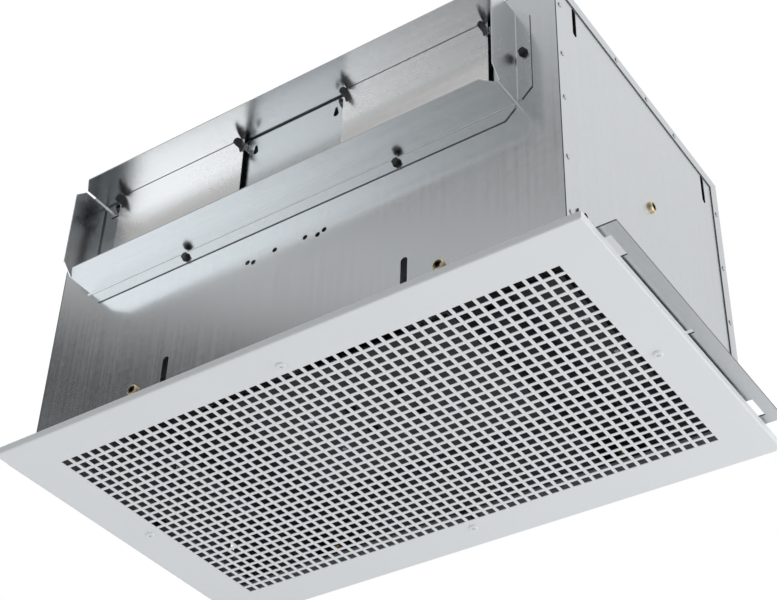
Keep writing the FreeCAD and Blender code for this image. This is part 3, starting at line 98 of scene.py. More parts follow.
def product(tree, first, second):
    return place(tree, "ShaderNodeMath", {0: first, 1: second}, operation="MULTIPLY").outputs[0]


def total(tree, first, second):
    return place(tree, "ShaderNodeMath", {0: first, 1: second}, operation="ADD").outputs[0]


def shaded(tree, tone, factor):
    """A colour made lighter or darker by a factor."""
    scaled = place(tree, "ShaderNodeVectorMath", {0: tone, "Scale": factor}, operation="SCALE")
    return scaled.outputs["Vector"]


def noise(tree, where, scale, detail):
    made = place(tree, "ShaderNodeTexNoise", {"Vector": where, "Scale": scale, "Detail": detail})
    return made.outputs["Fac"]


def finish_group(name, inputs, outputs):
    """An empty effect group with its named sockets, and the nodes that hold its inputs and outputs."""
    group = bpy.data.node_groups.new(name, "ShaderNodeTree")
    for socket, kind in inputs.items():
        group.interface.new_socket(socket, in_out="INPUT", socket_type=kind)
    for socket, kind in outputs.items():
        group.interface.new_socket(socket, in_out="OUTPUT", socket_type=kind)
    entry = group.nodes.new("NodeGroupInput")
    result = group.nodes.new("NodeGroupOutput")
    return group, entry.outputs, result.inputs


def rolled_zinc():
    """Galvanised sheet: blurred crystals of zinc, lines from the rolling mill and smears from handling."""
    inputs = {"Tone": "NodeSocketColor", "Shine": "NodeSocketFloat", "Rolling": "NodeSocketVector"}
    outputs = {"Color": "NodeSocketColor", "Roughness": "NodeSocketFloat", "Height": "NodeSocketFloat"}
    group, given, result = finish_group("rolled_zinc", inputs, outputs)
    where = place(group, "ShaderNodeTexCoord", {}).outputs["Object"]
    along = place(group, "ShaderNodeVectorMath", {0: where, 1: given["Rolling"]}, operation="MULTIPLY")
    crystal = noise(group, where, 1 / CRYSTAL_PITCH, 1.0)
    lines = noise(group, along.outputs["Vector"], 1.0, 1.0)
    smear = noise(group, where, 1 / SMEAR_PITCH, 4.0)
    tone = product(group, spread(group, crystal, *CRYSTAL_SHADES), spread(group, lines, *ROLLING_LINE_SHADES))
    tone = product(group, tone, spread(group, smear, *SMEAR_SHADES))
    group.links.new(shaded(group, given["Tone"], tone), result["Color"])
    dull = total(group, spread(group, crystal, *CRYSTAL_DULLNESS), spread(group, smear, *SMEAR_DULLNESS))
    dull = total(group, dull, spread(group, lines, *ROLLING_LINE_DULLNESS))
    group.links.new(total(group, given["Shine"], dull), result["Roughness"])
    group.links.new(lines, result["Height"])
    return group


def patterned_skin():
    """A finish whose tone and dullness follow one pattern."""
    inputs = {"Tone": "NodeSocketColor"}
    for level in ("Pattern", "Darkest", "Lightest", "Glossiest", "Dullest"):
        inputs[level] = "NodeSocketFloat"
    outputs = {"Color": "NodeSocketColor", "Roughness": "NodeSocketFloat"}
    group, given, result = finish_group("patterned_skin", inputs, outputs)
    shade = spread(group, given["Pattern"], given["Darkest"], given["Lightest"])
    group.links.new(shaded(group, given["Tone"], shade), result["Color"])
    dull = spread(group, given["Pattern"], given["Glossiest"], given["Dullest"])
    group.links.new(dull, result["Roughness"])
    return group


zinc_effect = rolled_zinc()
skin_effect = patterned_skin()


def new_material(name):
    """An empty material with its shader, and the tree that holds it."""
    made = bpy.data.materials.new(name)
    made.use_nodes = True
    tree = made.node_tree
    shader = next(node for node in tree.nodes if node.type == "BSDF_PRINCIPLED")
    return made, tree, shader


def relief(tree, shader, height, depth):
    """A bump of a real depth in metres."""
    bump = place(tree, "ShaderNodeBump", {"Height": height, "Strength": 1.0, "Distance": depth})
    tree.links.new(bump.outputs["Normal"], shader.inputs["Normal"])


def galvanised(name, rolling_axis, shine, tone=ZINC_TONE, metal=1.0, depth=ZINC_RELIEF):
    """Galvanised sheet whose rolling lines run along one axis."""
    made, tree, shader = new_material(name)
    scales = [1 / ROLLING_LINE_PITCH] * 3
    scales["XYZ".index(rolling_axis)] = 1 / ROLLING_LINE_REACH
    given = {"Tone": (*tone, 1), "Shine": shine, "Rolling": scales}
    sheet = place(tree, "ShaderNodeGroup", given, node_tree=zinc_effect)
    tree.links.new(sheet.outputs["Color"], shader.inputs["Base Color"])
    tree.links.new(sheet.outputs["Roughness"], shader.inputs["Roughness"])
    relief(tree, shader, sheet.outputs["Height"], depth)
    shader.inputs["Metallic"].default_value = metal
    return made


def grain(scale, detail):
    """A cloudy pattern, for mottled()."""
    return "ShaderNodeTexNoise", "Fac", {"Scale": scale, "Detail": detail}


def mottled(name, tone, texture, shades, dullness, depth=0.0, metal=0.0):
    """A material whose tone and dullness follow a texture, which may also stand proud."""
    kind, output, sizes = texture
    made, tree, shader = new_material(name)
    where = place(tree, "ShaderNodeTexCoord", {}).outputs["Object"]
    pattern = place(tree, kind, {"Vector": where, **sizes}).outputs[output]
    given = {"Tone": (*tone, 1), "Pattern": pattern, "Darkest": shades[0], "Lightest": shades[1]}
    given.update({"Glossiest": dullness[0], "Dullest": dullness[1]})
    skin = place(tree, "ShaderNodeGroup", given, node_tree=skin_effect)
    tree.links.new(skin.outputs["Color"], shader.inputs["Base Color"])
    tree.links.new(skin.outputs["Roughness"], shader.inputs["Roughness"])
    if depth:
        relief(tree, shader, pattern, depth)
    shader.inputs["Metallic"].default_value = metal
    return made


def break_edges(shape, edges, size):
    """Rounds some of a shape's edges."""
    bmesh.ops.bevel(
        shape,
        geom=edges,
        offset=size,
        segments=2,
        profile=0.5,
        affect="EDGES",
        material=-1,
        clamp_overlap=True,
    )


def settled(shape, name):
    """A piece made of a finished shape, with its round faces smooth and its corners sharp."""
    for face in shape.faces:
        face.smooth = True
    mesh = bpy.data.meshes.new(name)
    shape.to_mesh(mesh)
    shape.free()
    mesh.set_sharp_from_angle(angle=SMOOTH_TURN)
    piece = bpy.data.objects.new(name, mesh)
    bpy.context.collection.objects.link(piece)
    return piece


def kept_flat(piece):
    """Keeps a piece's large faces flat beside its broken edges."""
    flat = piece.modifiers.new("flat faces", "WEIGHTED_NORMAL")
    flat.keep_sharp = True
    return piece


def length_of(edges):
    return sum(edge.calc_length() for edge in edges)


def broken_edges(node, name, edge, sheet=0.0):
    """A copy of a cut and folded piece, with its outer edges broken. The cut edges of a sheet get the second
    finish, dark bare steel that also serves as painted shade of the gaps along them: they are as narrow as
    the sheet is thick, and run along corners."""
    shape = bmesh.new()
    shape.from_mesh(frame["nodes"][node].data)
    bmesh.ops.remove_doubles(shape, verts=shape.verts, dist=MERGE_REACH)
    bmesh.ops.dissolve_limit(shape, angle_limit=FLAT_TURN, verts=shape.verts, edges=shape.edges)
    corners = [rim for rim in shape.edges if rim.is_manifold and rim.calc_face_angle() > CORNER_TURN]
    sharp = set(corners)
    for face in shape.faces:
        outline = length_of(face.edges)
        sharp_part = length_of(rim for rim in face.edges if rim in sharp)
        narrow = 2 * face.calc_area() < CUT_EDGE_WIDTH * sheet * outline
        if narrow and sharp_part > CUT_EDGE_CORNERS * outline:
            face.material_index = 1
    if edge:
        break_edges(shape, [corner for corner in corners if corner.is_convex], edge)
    return kept_flat(settled(shape, name))


def stands_for(piece, node, slot, *finishes):
    """The piece takes a node's place on its body, with its finishes."""
    for made in finishes:
        piece.data.materials.append(made)
    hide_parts(node)
    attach(piece, body_of_node[node])


def shade_the_inside(piece):
    """Gives the third finish, a near-black painted shade, to the faces that lie within the housing's outer
    skin.
    """
    outer = Vector((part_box("right_panel")[1].x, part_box("back_panel")[1].y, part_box("top_panel")[1].z))
    inner = outer - Vector((OUTER_SKIN, OUTER_SKIN, OUTER_SKIN))
    for face in piece.data.polygons:
        if abs(face.center.x) < inner.x and abs(face.center.y) < inner.y and face.center.z < inner.z:
            face.material_index = 2


front_zinc = galvanised("front_zinc", "Z", shine=0.17)
# Near-black finish with a fine grain: painted shade for the dark inside of the housing.
inside_shade = mottled(
    "painted_shade_inside",
    tone=(0.17, 0.165, 0.172),
    texture=grain(scale=1 / INSIDE_SHADE_GRAIN, detail=2.0),
    shades=(0.6, 1.4),
    dullness=(0.75, 0.95),
    depth=0.0003,
)
# Cut edges: bare steel, made darker still as painted shade of the gaps along them.
edge_steel_and_shade = mottled(
    "sheared_edge_and_shade",
    tone=(0.15, 0.154, 0.16),
    texture=grain(scale=900.0, detail=2.0),
    shades=(0.6, 1.4),
    dullness=(0.4, 0.6),
    metal=0.7,
)
front_panel = broken_edges("front_panel", "front_panel_sheet", SHEET_EDGE, SHEET)
stands_for(front_panel, "front_panel", "galvanised", front_zinc, edge_steel_and_shade, inside_shade)
shade_the_inside(front_panel)

# Side, back and top panels: the same sheet. The side walls stand between the front and back panels, and the
# top and back panels fold over their edges as lips that meet in a mitre.
side_zinc = galvanised("side_zinc", "Z", shine=0.30)
top_zinc = galvanised("top_zinc", "X", shine=0.30)
for node, zinc in {
    "left_panel": side_zinc,
    "right_panel": side_zinc,
    "back_panel": side_zinc,
    "top_panel": top_zinc,
}.items():
    wall = broken_edges(node, node + "_sheet", SHEET_EDGE, SHEET)
    stands_for(wall, node, "galvanised", zinc, edge_steel_and_shade, inside_shade)
    # Each wall's inside takes the painted shade too.
    shade_the_inside(wall)

# Seam rivets: flat steel rivets along the housing's edges, zinc plated. They hold the panels' folds and lips
# together where they overlap.
plated_steel = galvanised("plated_steel", "X", shine=0.36, tone=(0.56, 0.57, 0.58))
rivets = broken_edges("housing_rivets", "seam_rivets", edge=0.0002)
stands_for(rivets, "housing_rivets", "bright_steel", plated_steel)

# Duct collar: four angles of the same sheet, screwed to the front wall with a gap at each corner. The long
# ones are rolled along the wall and the short ones along their height. Only the cut edges on the wall stay
# dark, as painted shade of the gap under the flanges.
long_zinc = galvanised("collar_long_zinc", "X", shine=0.24)
short_zinc = galvanised("collar_short_zinc", "Z", shine=0.25)
off_the_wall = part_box("front_panel")[0].y - 2 * SHEET
for node, zinc in {
    "collar_bottom": long_zinc,
    "collar_top": long_zinc,
    "collar_left": short_zinc,
    "collar_right": short_zinc,
}.items():
    angle = broken_edges(node, node + "_angle", SHEET_EDGE, SHEET)
    stands_for(angle, node, "galvanised", zinc, edge_steel_and_shade)
    # Edges away from the wall go back to zinc; those on the wall keep the painted shade.
    for face in angle.data.polygons:
        if face.center.y < off_the_wall:
            face.material_index = 0

# Collar screws: hex screws of blackened steel with a washer under the head, which go through the collar's
# flanges into the front wall.
black_oxide = mottled(
    "black_oxide",
    tone=(0.012, 0.012, 0.013),
    texture=grain(scale=420.0, detail=3.0),
    shades=(0.6, 1.5),
    dullness=(0.28, 0.5),
    metal=0.2,
)
collar_screws = broken_edges("collar_screws", "collar_hex_screws", edge=0.0005)
stands_for(collar_screws, "collar_screws", "black_steel", black_oxide)

# Outlet divider and hinge lugs: plain galvanised sheet between and beside the outlets, fixed to the front
# wall. They carry the ends of the hinge rods.
divider_zinc = galvanised("divider_zinc", "Z", shine=0.24)
for node in ("outlet_divider", "hinge_lugs"):
    plate = broken_edges(node, node + "_plate", SHEET_EDGE, SHEET)
    stands_for(plate, node, "galvanised", divider_zinc, edge_steel_and_shade)

# Back-draught flaps: thin aluminium leaves on steel rods, which the fan's own air pushes open. Their ears
# stand in front of the leaf and are painted near-black, as the shade under the collar's top.
EAR_BACK_Y = -0.1612
leaf = galvanised("flap_leaf", "X", shine=0.26, tone=(0.84, 0.835, 0.83), depth=0.0000006)
ear_shade = galvanised("painted_ear_shade", "Z", shine=0.42, tone=(0.10, 0.098, 0.102), metal=0.6)
for node in ("left_flap", "right_flap"):
    flap = broken_edges(node, node + "_leaf", edge=0.00012)
    stands_for(flap, node, "flap_sheet", leaf, ear_shade)
    # The ear faces in front of the leaf take the painted shade.
    for face in flap.data.polygons:
        if face.center.y < EAR_BACK_Y:
            face.material_index = 1
for node in ("left_hinge_rod", "right_hinge_rod"):
    rod = broken_edges(node, node + "_wire", edge=0.0003)
    stands_for(rod, node, "bright_steel", plated_steel)

# Flap seals and motor rings: dark foam strips behind the edges of the flaps, and rubber rings round the
# motor's bosses that keep its hum out of the housing.
foam = mottled(
    "seal_foam",
    tone=(0.05, 0.05, 0.053),
    texture=("ShaderNodeTexVoronoi", "Distance", {"Scale": 1400.0}),
    shades=(0.5, 1.3),
    dullness=(0.8, 1.0),
    depth=0.0004,
)
for node, slot in {"flap_seals": "foam", "motor_rings": "rubber"}.items():
    strip = broken_edges(node, node + "_soft", edge=0.0004)
    stands_for(strip, node, slot, foam)

# Yellow-zinc bolts: they hold the channels and stays from outside the walls. The round sockets in their heads
# get black oxide as painted shade.
FILM_SCALE = 160.0
FILM_TONES = ((0.66, 0.50, 0.28, 1), (0.88, 0.78, 0.52, 1))
FILM_DULLNESS = (0.22, 0.4)
SOCKET_R = 0.00276
END_BOLT_X = 0.158
END_BOLT_Z = 0.020
END_HEAD_Y = 0.1562
SIDE_BOLT_Z = 0.1445
SIDE_HEAD_X = 0.2726
yellow_zinc, tree, shader = new_material("yellow_zinc")
where = place(tree, "ShaderNodeTexCoord", {}).outputs["Object"]
film = noise(tree, where, FILM_SCALE, 3.0)
ramp = place(tree, "ShaderNodeValToRGB", {"Fac": film})
for stop, tone in zip(ramp.color_ramp.elements, FILM_TONES):
    stop.color = tone
tree.links.new(ramp.outputs["Color"], shader.inputs["Base Color"])
tree.links.new(spread(tree, film, *FILM_DULLNESS), shader.inputs["Roughness"])
shader.inputs["Metallic"].default_value = 1.0
support_bolts = broken_edges("support_bolts", "support_bolt_heads", edge=0.00015)
stands_for(support_bolts, "support_bolts", "yellow_zinc", yellow_zinc, black_oxide)
for face in support_bolts.data.polygons:
    at = face.center
    from_end_bolt = math.hypot(abs(at.x) - END_BOLT_X, at.z - END_BOLT_Z)
    from_side_bolt = math.hypot(at.y, at.z - SIDE_BOLT_Z)
    in_end_socket = abs(at.y) > END_HEAD_Y and from_end_bolt < SOCKET_R
    in_side_socket = abs(at.x) > SIDE_HEAD_X and from_side_bolt < SOCKET_R
    # Faces inside the sockets take black oxide as painted shade.
    if in_end_socket or in_side_socket:
        face.material_index = 1

# Blower: two scroll casings of thin galvanised sheet, dulled by dust. Each is a wrapper between two side
# plates with a drawn inlet mouth.
scroll_zinc = galvanised("scroll_zinc", "X", shine=0.45, metal=0.55)
for side in ("left", "right"):
    for part in ("scroll_wrapper", "scroll_inner_plate", "scroll_outer_plate"):
        node = side + "_" + part
        casing = broken_edges(node, node + "_sheet", edge=0.00015)
        stands_for(casing, node, "galvanised", scroll_zinc)

# Blower wheels, shaft and set screws: rolled galvanised blades between two end rings, on one ground steel
# shaft that runs through the motor. A black set screw holds each hub.
for node, slot, finish in (
    ("left_wheel", "galvanised", scroll_zinc),
    ("right_wheel", "galvanised", scroll_zinc),
    ("motor_shaft", "bright_steel", plated_steel),
    ("hub_set_screws", "black_steel", black_oxide),
):
    turning = broken_edges(node, node + "_turned", edge=0)
    stands_for(turning, node, slot, finish)

# Motor: a steel shell, sprayed black, between two end bells of cast aluminium. The spray leaves a fine orange
# peel, and the mould a coarser skin.
motor_paint = mottled(
    "motor_paint",
    tone=(0.045, 0.044, 0.046),
    texture=grain(scale=650.0, detail=2.0),
    shades=(0.8, 1.2),
    dullness=(0.35, 0.5),
    depth=0.00004,
)
cast_aluminium = mottled(
    "cast_aluminium",
    tone=(0.52, 0.53, 0.54),
    texture=grain(scale=480.0, detail=4.0),
    shades=(0.85, 1.15),
    dullness=(0.42, 0.62),
    depth=0.00012,
    metal=1.0,
)
for node, slot, finish in (
    ("motor_shell", "motor_paint", motor_paint),
    ("left_end_bell", "cast_aluminium", cast_aluminium),
    ("right_end_bell", "cast_aluminium", cast_aluminium),
):
    casting = broken_edges(node, node + "_skin", edge=0.0004)
    stands_for(casting, node, slot, finish)

# Motor's inside: cores stacked from thin steel sheets, windings of varnished copper wire and bronze bearings
# pressed into the end bells.
copper = mottled(
    "winding_copper",
    tone=(0.58, 0.24, 0.09),
    texture=("ShaderNodeTexWave", "Fac", {"Scale": 160.0, "Distortion": 6.0}),
    shades=(0.6, 1.1),
    dullness=(0.5, 0.3),
    depth=0.0005,
    metal=1.0,
)
lamination = mottled(
    "core_lamination",
    tone=(0.22, 0.22, 0.23),
    texture=("ShaderNodeTexWave", "Fac", {"Scale": 320.0, "Distortion": 0.3}),
    shades=(0.7, 1.1),
    dullness=(0.45, 0.6),
    metal=1.0,
)
for node, slot, finish in (
    ("stator_core", "lamination", lamination),
    ("rotor_core", "lamination", lamination),
    ("motor_windings", "copper", copper),
    ("motor_bearings", "bronze", yellow_zinc),
):
    inner = broken_edges(node, node + "_inner", edge=0)
    stands_for(inner, node, slot, finish)

# Base plate, channels, cradle and stays: bent steel sheet painted black as the motor is. The black also
# stands in as painted shade for the dark inside seen through the grille. They carry the motor and the
# casings between the housing's walls.
for node in ("base_plate", "left_channel", "right_channel", "motor_cradle", "left_stay", "right_stay"):
    carrier = broken_edges(node, node + "_bent", SHEET_EDGE)
    stands_for(carrier, node, "motor_paint", motor_paint)

# Fittings of the inside: the capacitor in its strap, the wiring box with its cover, the grille's spring
# clips, and the plated screws and black bolts that hold them.
for node, slot, finish in (
    ("capacitor", "capacitor_can", cast_aluminium),
    ("capacitor_strap", "galvanised", scroll_zinc),
    ("strap_screws", "bright_steel", plated_steel),
    ("blower_screws", "bright_steel", plated_steel),
    ("base_bolts", "black_steel", black_oxide),
    ("wiring_screws", "bright_steel", plated_steel),
    ("wiring_box", "galvanised", scroll_zinc),
    ("wiring_cover", "galvanised", scroll_zinc),
    ("grille_clips", "black_steel", black_oxide),
):
    fitting = broken_edges(node, node + "_fitting", edge=0.0002)
    stands_for(fitting, node, slot, finish)

# Motor's socket: off-white plastic with three pin slots, set in the wiring box. Its mould was spark eroded,
# which leaves a fine matt grain.
socket_plastic = mottled(
    "socket_plastic",
    tone=(0.78, 0.77, 0.73),
    texture=grain(scale=900.0, detail=2.0),
    shades=(0.95, 1.05),
    dullness=(0.42, 0.55),
    depth=0.00005,
)
socket = broken_edges("motor_socket", "motor_socket_moulding", edge=0.0004)
stands_for(socket, "motor_socket", "socket_plastic", socket_plastic)

# Mounting rails: galvanised angles along the short sides, with a window under each of the plated hex bolts
# that clamp them to the side walls' slots.
RAIL_SHEET = 0.0015
rail_zinc = galvanised("rail_zinc", "Y", shine=0.30)
for side in ("left", "right"):
    rail = broken_edges(side + "_rail", side + "_rail_angle", edge=0.00025, sheet=RAIL_SHEET)
    stands_for(rail, side + "_rail", "galvanised", rail_zinc, edge_steel_and_shade)
    bolts = broken_edges(side + "_rail_bolts", side + "_rail_hex_bolts", edge=0.0003)
    stands_for(bolts, side + "_rail_bolts", "bright_steel", plated_steel)

# Grille: a shallow tray of steel sheet, punched with square holes and powder coated off-white. The coat
# rounds each hole's lower edge.
HOLE_COLUMNS = 46
HOLE_ROWS = 25
HOLE_PITCH = 0.0111125
HOLE_SIZE = 0.0079375
GRILLE_SHEET = 0.0008
GRILLE_BEND = 0.002
GRILLE_EDGE = 0.00022
BEND_STEPS = 6
WELD_REACH = 0.00002
POWDER_TONE = (0.785, 0.812, 0.832)
POWDER_DULLNESS = (0.36, 0.46)
PEEL_PITCH = 0.0017
PEEL_SHADES = (0.985, 1.015)
PEEL_RELIEF = 0.00003
CLOUD_SCALE = 7.0
CLOUD_SHADES = (0.98, 1.02)
powder_coat, tree, shader = new_material("powder_coat")
where = place(tree, "ShaderNodeTexCoord", {}).outputs["Object"]
peel = noise(tree, where, 1 / PEEL_PITCH, 2.0)
cloud = noise(tree, where, CLOUD_SCALE, 3.0)
tone = product(tree, spread(tree, peel, *PEEL_SHADES), spread(tree, cloud, *CLOUD_SHADES))
tree.links.new(shaded(tree, POWDER_TONE, tone), shader.inputs["Base Color"])
tree.links.new(spread(tree, peel, *POWDER_DULLNESS), shader.inputs["Roughness"])
relief(tree, shader, peel, PEEL_RELIEF)

low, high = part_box("grille")
field = Vector((HOLE_COLUMNS * HOLE_PITCH / 2, HOLE_ROWS * HOLE_PITCH / 2))
middle = (low + high) / 2
rim = high - middle


def verts_of(items):
    return [item for item in items if isinstance(item, bmesh.types.BMVert)]


def repeated(shape, items, way):
    """A copy of some of a shape's geometry, moved along a way."""
    copy = bmesh.ops.duplicate(shape, geom=items)["geom"]
    bmesh.ops.translate(shape, verts=verts_of(copy), vec=way)
    return copy


def quarter(radius, step):
    """How far a bend's outline still has to go across, and how far it has risen, some steps round it."""
    turn = math.pi / 2 * step / BEND_STEPS
    return radius * (1 - math.sin(turn)), radius * (1 - math.cos(turn))


def rectangle(shape, inset, z):
    """A loop of four edges inside the tray's outline, at a height."""
    eighth_turn = Matrix.Rotation(math.pi / 4, 4, "Z")
    made = bmesh.ops.create_circle(shape, segments=4, radius=math.sqrt(2), matrix=eighth_turn)
    for vert in made["verts"]:
        across = Vector((vert.co.x * (rim.x - inset), vert.co.y * (rim.y - inset)))
        vert.co = Vector((middle.x + across.x, middle.y + across.y, z))
    return list(dict.fromkeys(edge for vert in made["verts"] for edge in vert.link_edges))


tray = bmesh.new()
bmesh.ops.create_grid(tray, x_segments=1, y_segments=1, size=HOLE_PITCH / 2)
web = (HOLE_PITCH - HOLE_SIZE) / 2
bmesh.ops.inset_individual(tray, faces=tray.faces[:], thickness=web, use_even_offset=True)
slug = min(tray.faces, key=lambda face: face.calc_center_median().length)
mouth = list(slug.edges)
bmesh.ops.delete(tray, geom=[slug], context="FACES_ONLY")
upper = verts_of(bmesh.ops.extrude_edge_only(tray, edges=mouth)["geom"])
bmesh.ops.translate(tray, verts=upper, vec=(0, 0, GRILLE_SHEET))
brim = [edge for edge in tray.edges if all(vert in upper for vert in edge.verts)]
corners = verts_of(bmesh.ops.extrude_edge_only(tray, edges=brim)["geom"])
bmesh.ops.scale(tray, verts=corners, vec=(HOLE_PITCH / HOLE_SIZE, HOLE_PITCH / HOLE_SIZE, 1))
break_edges(tray, mouth, GRILLE_EDGE)
bmesh.ops.recalc_face_normals(tray, faces=tray.faces)
corner_cell = (-field.x + HOLE_PITCH / 2, -field.y + HOLE_PITCH / 2, low.z)
bmesh.ops.translate(tray, verts=tray.verts, vec=corner_cell)
one = tray.verts[:] + tray.edges[:] + tray.faces[:]
row = list(one)
for column in range(1, HOLE_COLUMNS):
    row += repeated(tray, one, (column * HOLE_PITCH, 0, 0))
for line in range(1, HOLE_ROWS):
    repeated(tray, row, (0, line * HOLE_PITCH, 0))
bmesh.ops.remove_doubles(tray, verts=tray.verts, dist=WELD_REACH)
open_edges = [edge for edge in tray.edges if edge.is_boundary]
half_up = low.z + GRILLE_SHEET / 2
lower_loop = [edge for edge in open_edges if edge.verts[0].co.z < half_up]
upper_loop = [edge for edge in open_edges if edge.verts[0].co.z > half_up]
section = []
for step in range(BEND_STEPS + 1):
    inset, rise = quarter(GRILLE_BEND, step)
    section.append((inset, low.z + rise))
section += [(0, high.z - GRILLE_EDGE), (GRILLE_EDGE, high.z)]
section += [(GRILLE_SHEET - GRILLE_EDGE, high.z), (GRILLE_SHEET, high.z - GRILLE_EDGE)]
for step in reversed(range(BEND_STEPS + 1)):
    inset, rise = quarter(GRILLE_BEND - GRILLE_SHEET, step)
    section.append((GRILLE_SHEET + inset, low.z + GRILLE_SHEET + rise))
last = lower_loop
for inset, z in section:
    ring = rectangle(tray, inset, z)
    bmesh.ops.bridge_loops(tray, edges=last + ring)
    last = ring
bmesh.ops.bridge_loops(tray, edges=last + upper_loop)
bmesh.ops.recalc_face_normals(tray, faces=tray.faces)
grille = kept_flat(settled(tray, "grille_tray"))
stands_for(grille, "grille", "white_paint", powder_coat)

# Grille screws: steel pan heads, turned and punched with a cross recess in one blow and coated white with the
# grille. Their shanks stay dark.
SCREW_PLACES = ((0.2667, 0.0), (-0.2667, 0.0), (0.0, 0.1486), (0.0, -0.1486))
SCREW_R = 0.0021
SCREW_SIDES = 32
TIP_R = 0.6 * SCREW_R
TIP_LENGTH = 0.4 * SCREW_R
HEAD_R = 0.0044
HEAD_ROUND = 0.0013
RECESS_REACH = 0.0022
RECESS_HALF = 0.00055
RECESS_DEPTH = 0.0014
RECESS_TAPER = 0.6
COAT_RISE = 0.0001
SCREW_WELD = 0.000001
low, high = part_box("grille_screws")
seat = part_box("grille")[0].z
outline = [(0, high.z), (TIP_R, high.z), (SCREW_R, high.z - TIP_LENGTH), (SCREW_R, seat)]
outline += [(HEAD_R, seat), (HEAD_R, low.z + HEAD_ROUND)]
for step in range(1, BEND_STEPS + 1):
    rise, inset = quarter(HEAD_ROUND, step)
    outline.append((HEAD_R - inset, low.z + rise))
screws = bmesh.new()
points = [screws.verts.new((r, 0, z)) for r, z in outline]
profile = points + [screws.edges.new(pair) for pair in zip(points, points[1:])]
bmesh.ops.spin(
    screws, geom=profile, cent=(0, 0, 0), axis=(0, 0, 1), angle=2 * math.pi, steps=SCREW_SIDES, use_merge=True
)
bmesh.ops.remove_doubles(screws, verts=screws.verts, dist=SCREW_WELD)
brim = [edge for edge in screws.edges if edge.is_boundary]
near = RECESS_HALF
far = RECESS_REACH
cross = [(near, near), (near, far), (-near, far), (-near, near), (-far, near), (-far, -near)]
cross += [(-x, -y) for x, y in cross]
mouth = [screws.verts.new((x, y, low.z)) for x, y in cross]
mouth = [screws.edges.new(pair) for pair in zip(mouth, mouth[1:] + mouth[:1])]
bmesh.ops.triangle_fill(screws, edges=brim + mouth, use_beauty=True)
deep = verts_of(bmesh.ops.extrude_edge_only(screws, edges=mouth)["geom"])
bmesh.ops.scale(screws, verts=deep, vec=(RECESS_TAPER, RECESS_TAPER, 1))
bmesh.ops.translate(screws, verts=deep, vec=(0, 0, RECESS_DEPTH))
bottom = [edge for edge in screws.edges if all(vert in deep for vert in edge.verts)]
bmesh.ops.contextual_create(screws, geom=bottom)
bmesh.ops.recalc_face_normals(screws, faces=screws.faces)
for face in screws.faces:
    face.material_index = 1 if face.calc_center_median().z > seat + COAT_RISE else 0
one = screws.verts[:] + screws.edges[:] + screws.faces[:]
for at in SCREW_PLACES[1:]:
    repeated(screws, one, (*at, 0))
bmesh.ops.translate(screws, verts=verts_of(one), vec=(*SCREW_PLACES[0], 0))
pan_screws = settled(screws, "grille_pan_screws")
stands_for(pan_screws, "grille_screws", "white_paint", powder_coat, black_oxide)

# Studio: a pale floor well below the fan and a white surround. In front, the metal mirrors bands of light and
# shade, and behind, an even light. Soft lamps stand low at the left, below, behind and at the right.
FLOOR_Z = -1.25
FLOOR_HALF = 4.0
FLOOR_TONE = (0.66, 0.66, 0.66, 1)
FLOOR_TONE_SEEN = (0.9, 0.9, 0.9, 1)
WHITE = (1, 1, 1, 1)
FRONT_SKY = (
    (0.20, 0.20),
    (0.34, 0.46),
    (0.48, 0.42),
    (0.555, 0.09),
    (0.592, 0.07),
    (0.608, 0.20),
    (0.621, 0.95),
    (0.646, 0.92),
    (0.666, 0.48),
    (0.688, 0.31),
    (0.712, 0.32),
    (0.745, 0.80),
    (0.85, 0.82),
)
BACK_SKY = ((0.50, 0.95), (0.594, 0.88), (0.627, 0.87), (0.667, 0.93), (0.70, 0.97))
FRONT_SKY_END = -0.3
BACK_SKY_START = 0.4
UP = (math.pi, 0, 0)
LEFTWARDS = (0, math.pi / 2, 0)
LAMPS = {
    "far_left": ((-1.75, -1.2, -1.05), UP, (1.4, 1.4), 1.72),
    "left": ((-0.88, -1.2, -1.05), UP, (0.34, 1.4), 1.34),
    "mid_left": ((-0.57, -1.2, -1.05), UP, (0.28, 1.4), 0.3),
    "under": ((0.85, 0.2, -1.2), UP, (1.5, 1.6), 0.70),
    "behind": ((-0.3, 2.15, -1.2), UP, (1.6, 0.9), 0.68),
    "right": ((2.0, 0.3, -0.35), LEFTWARDS, (1.0, 1.2), 2.6),
}


def mixed(tree, factor, first, second):
    """A colour between two others. The mix node repeats its sockets' names, so its colours go by number."""
    made = place(tree, "ShaderNodeMix", {0: factor, 6: first, 7: second}, data_type="RGBA")
    return made.outputs[2]


def seen_by_camera(tree):
    return place(tree, "ShaderNodeLightPath", {}).outputs["Is Camera Ray"]


def sky(tree, height, levels):
    """A surround whose light follows the height above the horizon, 0 to 1."""
    fade = place(tree, "ShaderNodeValToRGB", {"Fac": height})
    stops = fade.color_ramp.elements
    while len(stops) < len(levels):
        stops.new(0.5)
    for stop, (position, level) in zip(stops, levels):
        stop.position = position
        stop.color = (level, level, level, 1)
    return fade.outputs["Color"]


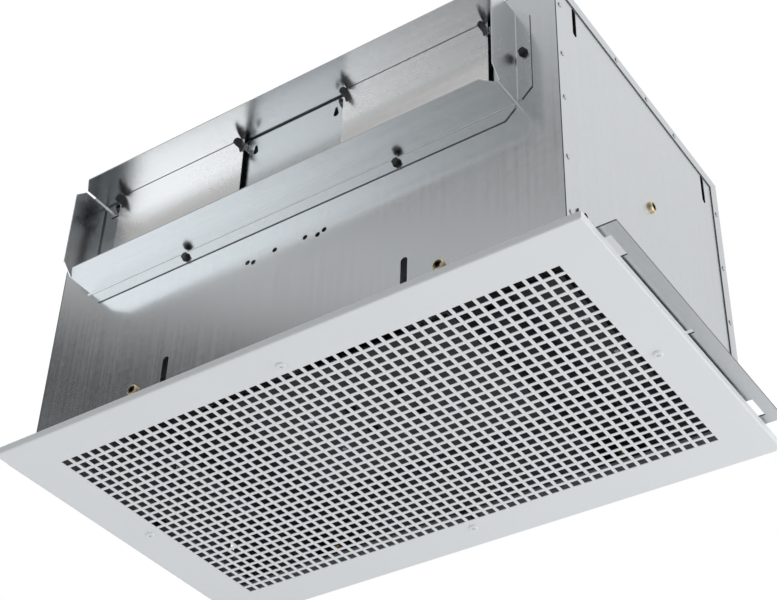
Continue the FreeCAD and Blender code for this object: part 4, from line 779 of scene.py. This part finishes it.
ground = bmesh.new()
bmesh.ops.create_grid(ground, x_segments=1, y_segments=1, size=FLOOR_HALF)
bmesh.ops.translate(ground, verts=ground.verts, vec=(0, 0, FLOOR_Z))
floor = settled(ground, "studio_floor")
floor_paint, tree, shader = new_material("studio_floor_paint")
paint = mixed(tree, seen_by_camera(tree), FLOOR_TONE, FLOOR_TONE_SEEN)
tree.links.new(paint, shader.inputs["Base Color"])
shader.inputs["Roughness"].default_value = 0.7
floor.data.materials.append(floor_paint)

world = bpy.data.worlds.new("studio")
bpy.context.scene.world = world
world.use_nodes = True
tree = world.node_tree
tree.nodes.clear()
where = place(tree, "ShaderNodeTexCoord", {}).outputs["Generated"]
way = place(tree, "ShaderNodeSeparateXYZ", {"Vector": where}).outputs
limits = {"Value": way["Y"], "From Min": FRONT_SKY_END, "From Max": BACK_SKY_START}
behind = place(tree, "ShaderNodeMapRange", limits).outputs[0]
surround = mixed(tree, behind, sky(tree, way["Z"], FRONT_SKY), sky(tree, way["Z"], BACK_SKY))
surround = mixed(tree, seen_by_camera(tree), surround, WHITE)
backdrop = place(tree, "ShaderNodeBackground", {"Color": surround, "Strength": 1.0})
place(tree, "ShaderNodeOutputWorld", {"Surface": backdrop.outputs[0]})

for name, (at, facing, size, radiance) in LAMPS.items():
    lamp = bpy.data.lights.new(name + "_lamp", "AREA")
    lamp.shape = "RECTANGLE"
    lamp.size, lamp.size_y = size
    lamp.energy = math.pi * size[0] * size[1] * radiance
    holder = bpy.data.objects.new(name + "_lamp", lamp)
    bpy.context.collection.objects.link(holder)
    holder.location = at
    holder.rotation_euler = facing
    holder.visible_camera = False

# Camera: below the fan, in front of its right corner, looking up through a long lens. Its place and turn put
# the grille's holes where the photograph has them.
CAMERA_PLACE = (0.70883, -0.99835, -0.82569)
CAMERA_TURN = (128.8497, -1.5380, 34.1509)
FILM_WIDTH = 36.0
FOCAL_LENGTH = 77.7
camera_data = bpy.data.cameras.new("camera")
camera_data.sensor_width = FILM_WIDTH
camera_data.lens = FOCAL_LENGTH
camera = bpy.data.objects.new("camera", camera_data)
bpy.context.collection.objects.link(camera)
camera.location = CAMERA_PLACE
camera.rotation_euler = [math.radians(turn) for turn in CAMERA_TURN]
bpy.context.scene.camera = camera
bpy.context.scene.view_settings.view_transform = "Standard"
